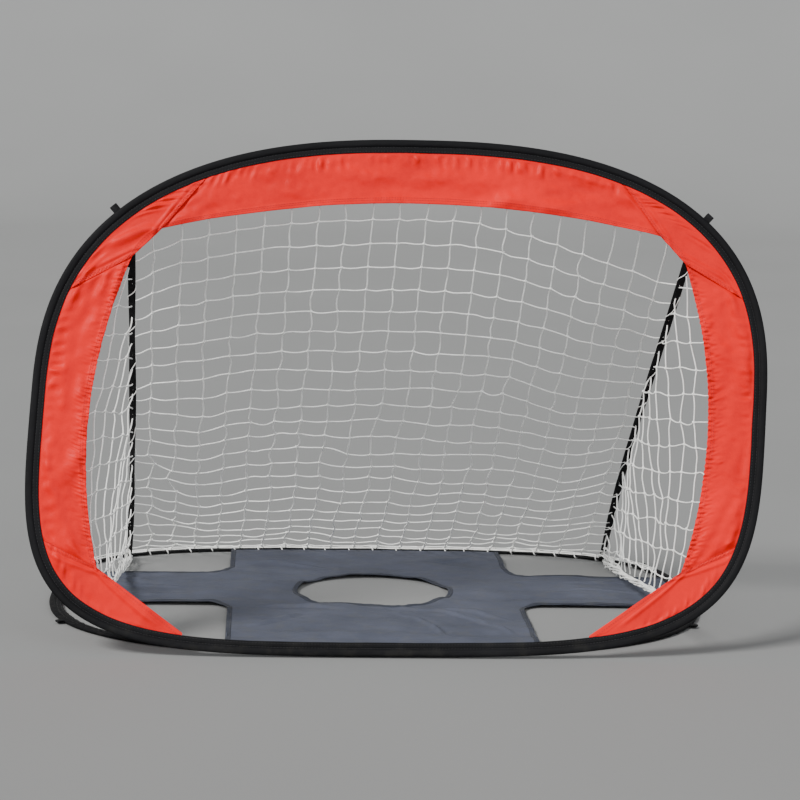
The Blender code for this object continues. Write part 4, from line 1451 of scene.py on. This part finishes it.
def make_loop(name, outline, near, place, body):
    """A short loop of webbing standing out of the sleeve, stitched through at its root."""
    index = nearest(outline, near)
    outward = -inward_of(outline)[index]
    along = np.array([-outward[1], outward[0]])
    straight = LOOP_REACH - LOOP_BEND - LOOP_ROOT
    turn = np.radians(np.linspace(-90, 90, 9))
    bend = np.stack([straight + LOOP_BEND * np.cos(turn), LOOP_BEND * np.sin(turn)], 1)
    legs = np.linspace(-LOOP_ROOT, straight, 7)[:-1]
    lower = np.stack([legs, -LOOP_BEND - 0.0003 * np.sin(legs / LOOP_REACH * math.pi)], 1)
    upper = lower[::-1] * (1, -1)
    line = np.vstack([lower, bend, upper])
    base = outline[index]
    middle = place(base + outward * line[:, :1], line[:, 1])
    side = place((base + along * 0.01)[None], np.zeros(1)) - place(base[None], np.zeros(1))
    wide = np.repeat(side / np.linalg.norm(side), len(line), 0)
    pile = Pile()
    run, _, _ = path_frames(middle)
    add_band(pile, middle, wide, np.cross(run, wide), *LOOP_SIZE)
    item = pile.build(name + "_webbing", WEBBING)
    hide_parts(name)
    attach(item, body)


def make_tape():
    """Webbing sewn between the two sleeves along the front."""
    run = inset(BASE, TAPE_INSET)
    run = run[(run[:, 1] < BASE_DEPTH / 2) & (np.abs(run[:, 0]) < TAPE_HALF_LENGTH)]
    run = run[np.argsort(run[:, 0])]
    path = on_base(run, np.full(len(run), AXIS_HEIGHT - SLEEVE_MIDDLE))
    wide = np.repeat(np.array([[0.0, 1.0, 0.0]]), len(path), 0)
    face = np.repeat(np.array([[0.0, 0.0, 1.0]]), len(path), 0)
    pile = Pile()
    add_band(pile, path, wide, face, *TAPE_SIZE)
    item = pile.build("front_join_tape_webbing", WEBBING)
    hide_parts("front_join_tape")
    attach(item, "base_hoop")
    threads = Pile()
    for off in TAPE_ROWS:
        add_stitches(threads, path + np.array([0.0, off, TAPE_SIZE[1]]), face, STITCH_PITCH)
    stitches = threads.build("front_join_tape_stitches", BLACK_THREAD)
    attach(stitches, "base_hoop")


# -------------------------------------------------------- camera, light, floor

CAMERA_PLACE = (-0.2025, -3.8375, 0.967)
CAMERA_YAW = 0.0568
CAMERA_PITCH = 0.142
CAMERA_ROLL = 0.0205
CAMERA_LENS = 110.1


def make_camera():
    data = bpy.data.cameras.new("photo_camera")
    data.lens = CAMERA_LENS
    data.sensor_width = 36.0
    data.clip_end = 200.0
    camera = bpy.data.objects.new("photo_camera", data)
    bpy.context.scene.collection.objects.link(camera)
    sy, cy = math.sin(CAMERA_YAW), math.cos(CAMERA_YAW)
    sp, cp = math.sin(CAMERA_PITCH), math.cos(CAMERA_PITCH)
    forward = Vector((sy * cp, cy * cp, -sp))
    right = Vector((cy, -sy, 0.0))
    up = right.cross(forward)
    cr, sr = math.cos(CAMERA_ROLL), math.sin(CAMERA_ROLL)
    rolled_right = right * cr + up * sr
    rolled_up = up * cr - right * sr
    turn = Matrix((rolled_right, rolled_up, -forward)).transposed().to_4x4()
    turn.translation = Vector(CAMERA_PLACE)
    camera.matrix_world = turn
    bpy.context.scene.camera = camera


def soft_sun(name, come_from, strength, spread, colour):
    """Even light over the whole floor from one direction, with soft-edged shadows."""
    data = bpy.data.lights.new(name, "SUN")
    data.energy = strength
    data.angle = math.radians(spread)
    data.color = colour
    light = bpy.data.objects.new(name, data)
    bpy.context.scene.collection.objects.link(light)
    light.rotation_euler = (-Vector(come_from)).to_track_quat("-Z", "Y").to_euler()


def make_surroundings():
    """A pale floor that sweeps up into a wall far behind, and soft light."""
    bend = np.radians(np.linspace(0, 90, 25))
    profile = [(-30.0, 0.0)] + [(9.0 + 5 * math.sin(t), 5 - 5 * math.cos(t)) for t in bend] + [(14.0, 40.0)]
    corners = [(x, y, z) for y, z in profile for x in (-40.0, 40.0)]
    strips = [(2 * k, 2 * k + 1, 2 * k + 3, 2 * k + 2) for k in range(len(profile) - 1)]
    mesh = bpy.data.meshes.new("studio_floor")
    mesh.from_pydata(corners, [], strips)
    mesh.shade_smooth()
    mesh.materials.append(floor_material())
    floor = bpy.data.objects.new("studio_floor", mesh)
    bpy.context.scene.collection.objects.link(floor)
    floor.location.z = -0.0002
    world = bpy.data.worlds.new("studio")
    bpy.context.scene.world = world
    world.use_nodes = True
    sky = world.node_tree.nodes["Background"]
    sky.inputs["Color"].default_value = (0.97, 0.985, 1.0, 1.0)
    sky.inputs["Strength"].default_value = 0.60
    soft_sun("key_light", (-0.62, -0.46, 0.72), 4.0, 17.0, (1.0, 0.985, 0.96))
    soft_sun("fill_light", (0.30, -0.90, 0.35), 1.55, 60.0, (0.96, 0.98, 1.0))


# ----------------------------------------------------------------- assembling

make_camera()
make_surroundings()

make_sleeve("base_sleeve_cloth", BASE, on_base, 11, "base_hoop", "base_sleeve")
make_sleeve("front_sleeve_cloth", STAND, on_stand, 23, "front_hoop", "front_sleeve")

for number, (kind, runs) in enumerate(border_runs().items()):
    if kind == "front_panel_top":
        make_panel(kind, None, 1, runs, 100)
        continue
    for word, side in SIDES:
        make_panel(kind, word, side, runs, 110 + 20 * number + 7 * side)

make_target_sheet()
make_bindings()
make_rear_net()
for word, side in SIDES:
    make_side_net(word, side)
    make_strap(word, side)
    make_strap_lacing(word, side)
make_rear_lacing()

for end, (x, y) in {"front": (0.56, 0.20), "rear": (0.53, 0.72)}.items():
    for word, side in SIDES:
        make_loop(f"base_loop_{end}_{word}", BASE, (side * x, y), on_base, "base_hoop")
for word, side in SIDES:
    near = (side * 0.49 + STAND_SWAY * 0.72, 0.72)
    make_loop("front_loop_upper_" + word, STAND, near, on_stand, "front_hoop")
make_tape()

for part, steel in (("spring_wire", SPRING_STEEL), ("wire_ferrule", FERRULE_STEEL)):
    for which in ("base", "front"):
        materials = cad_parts[f"{which}_{part}"].data.materials
        materials.clear()
        materials.append(steel)
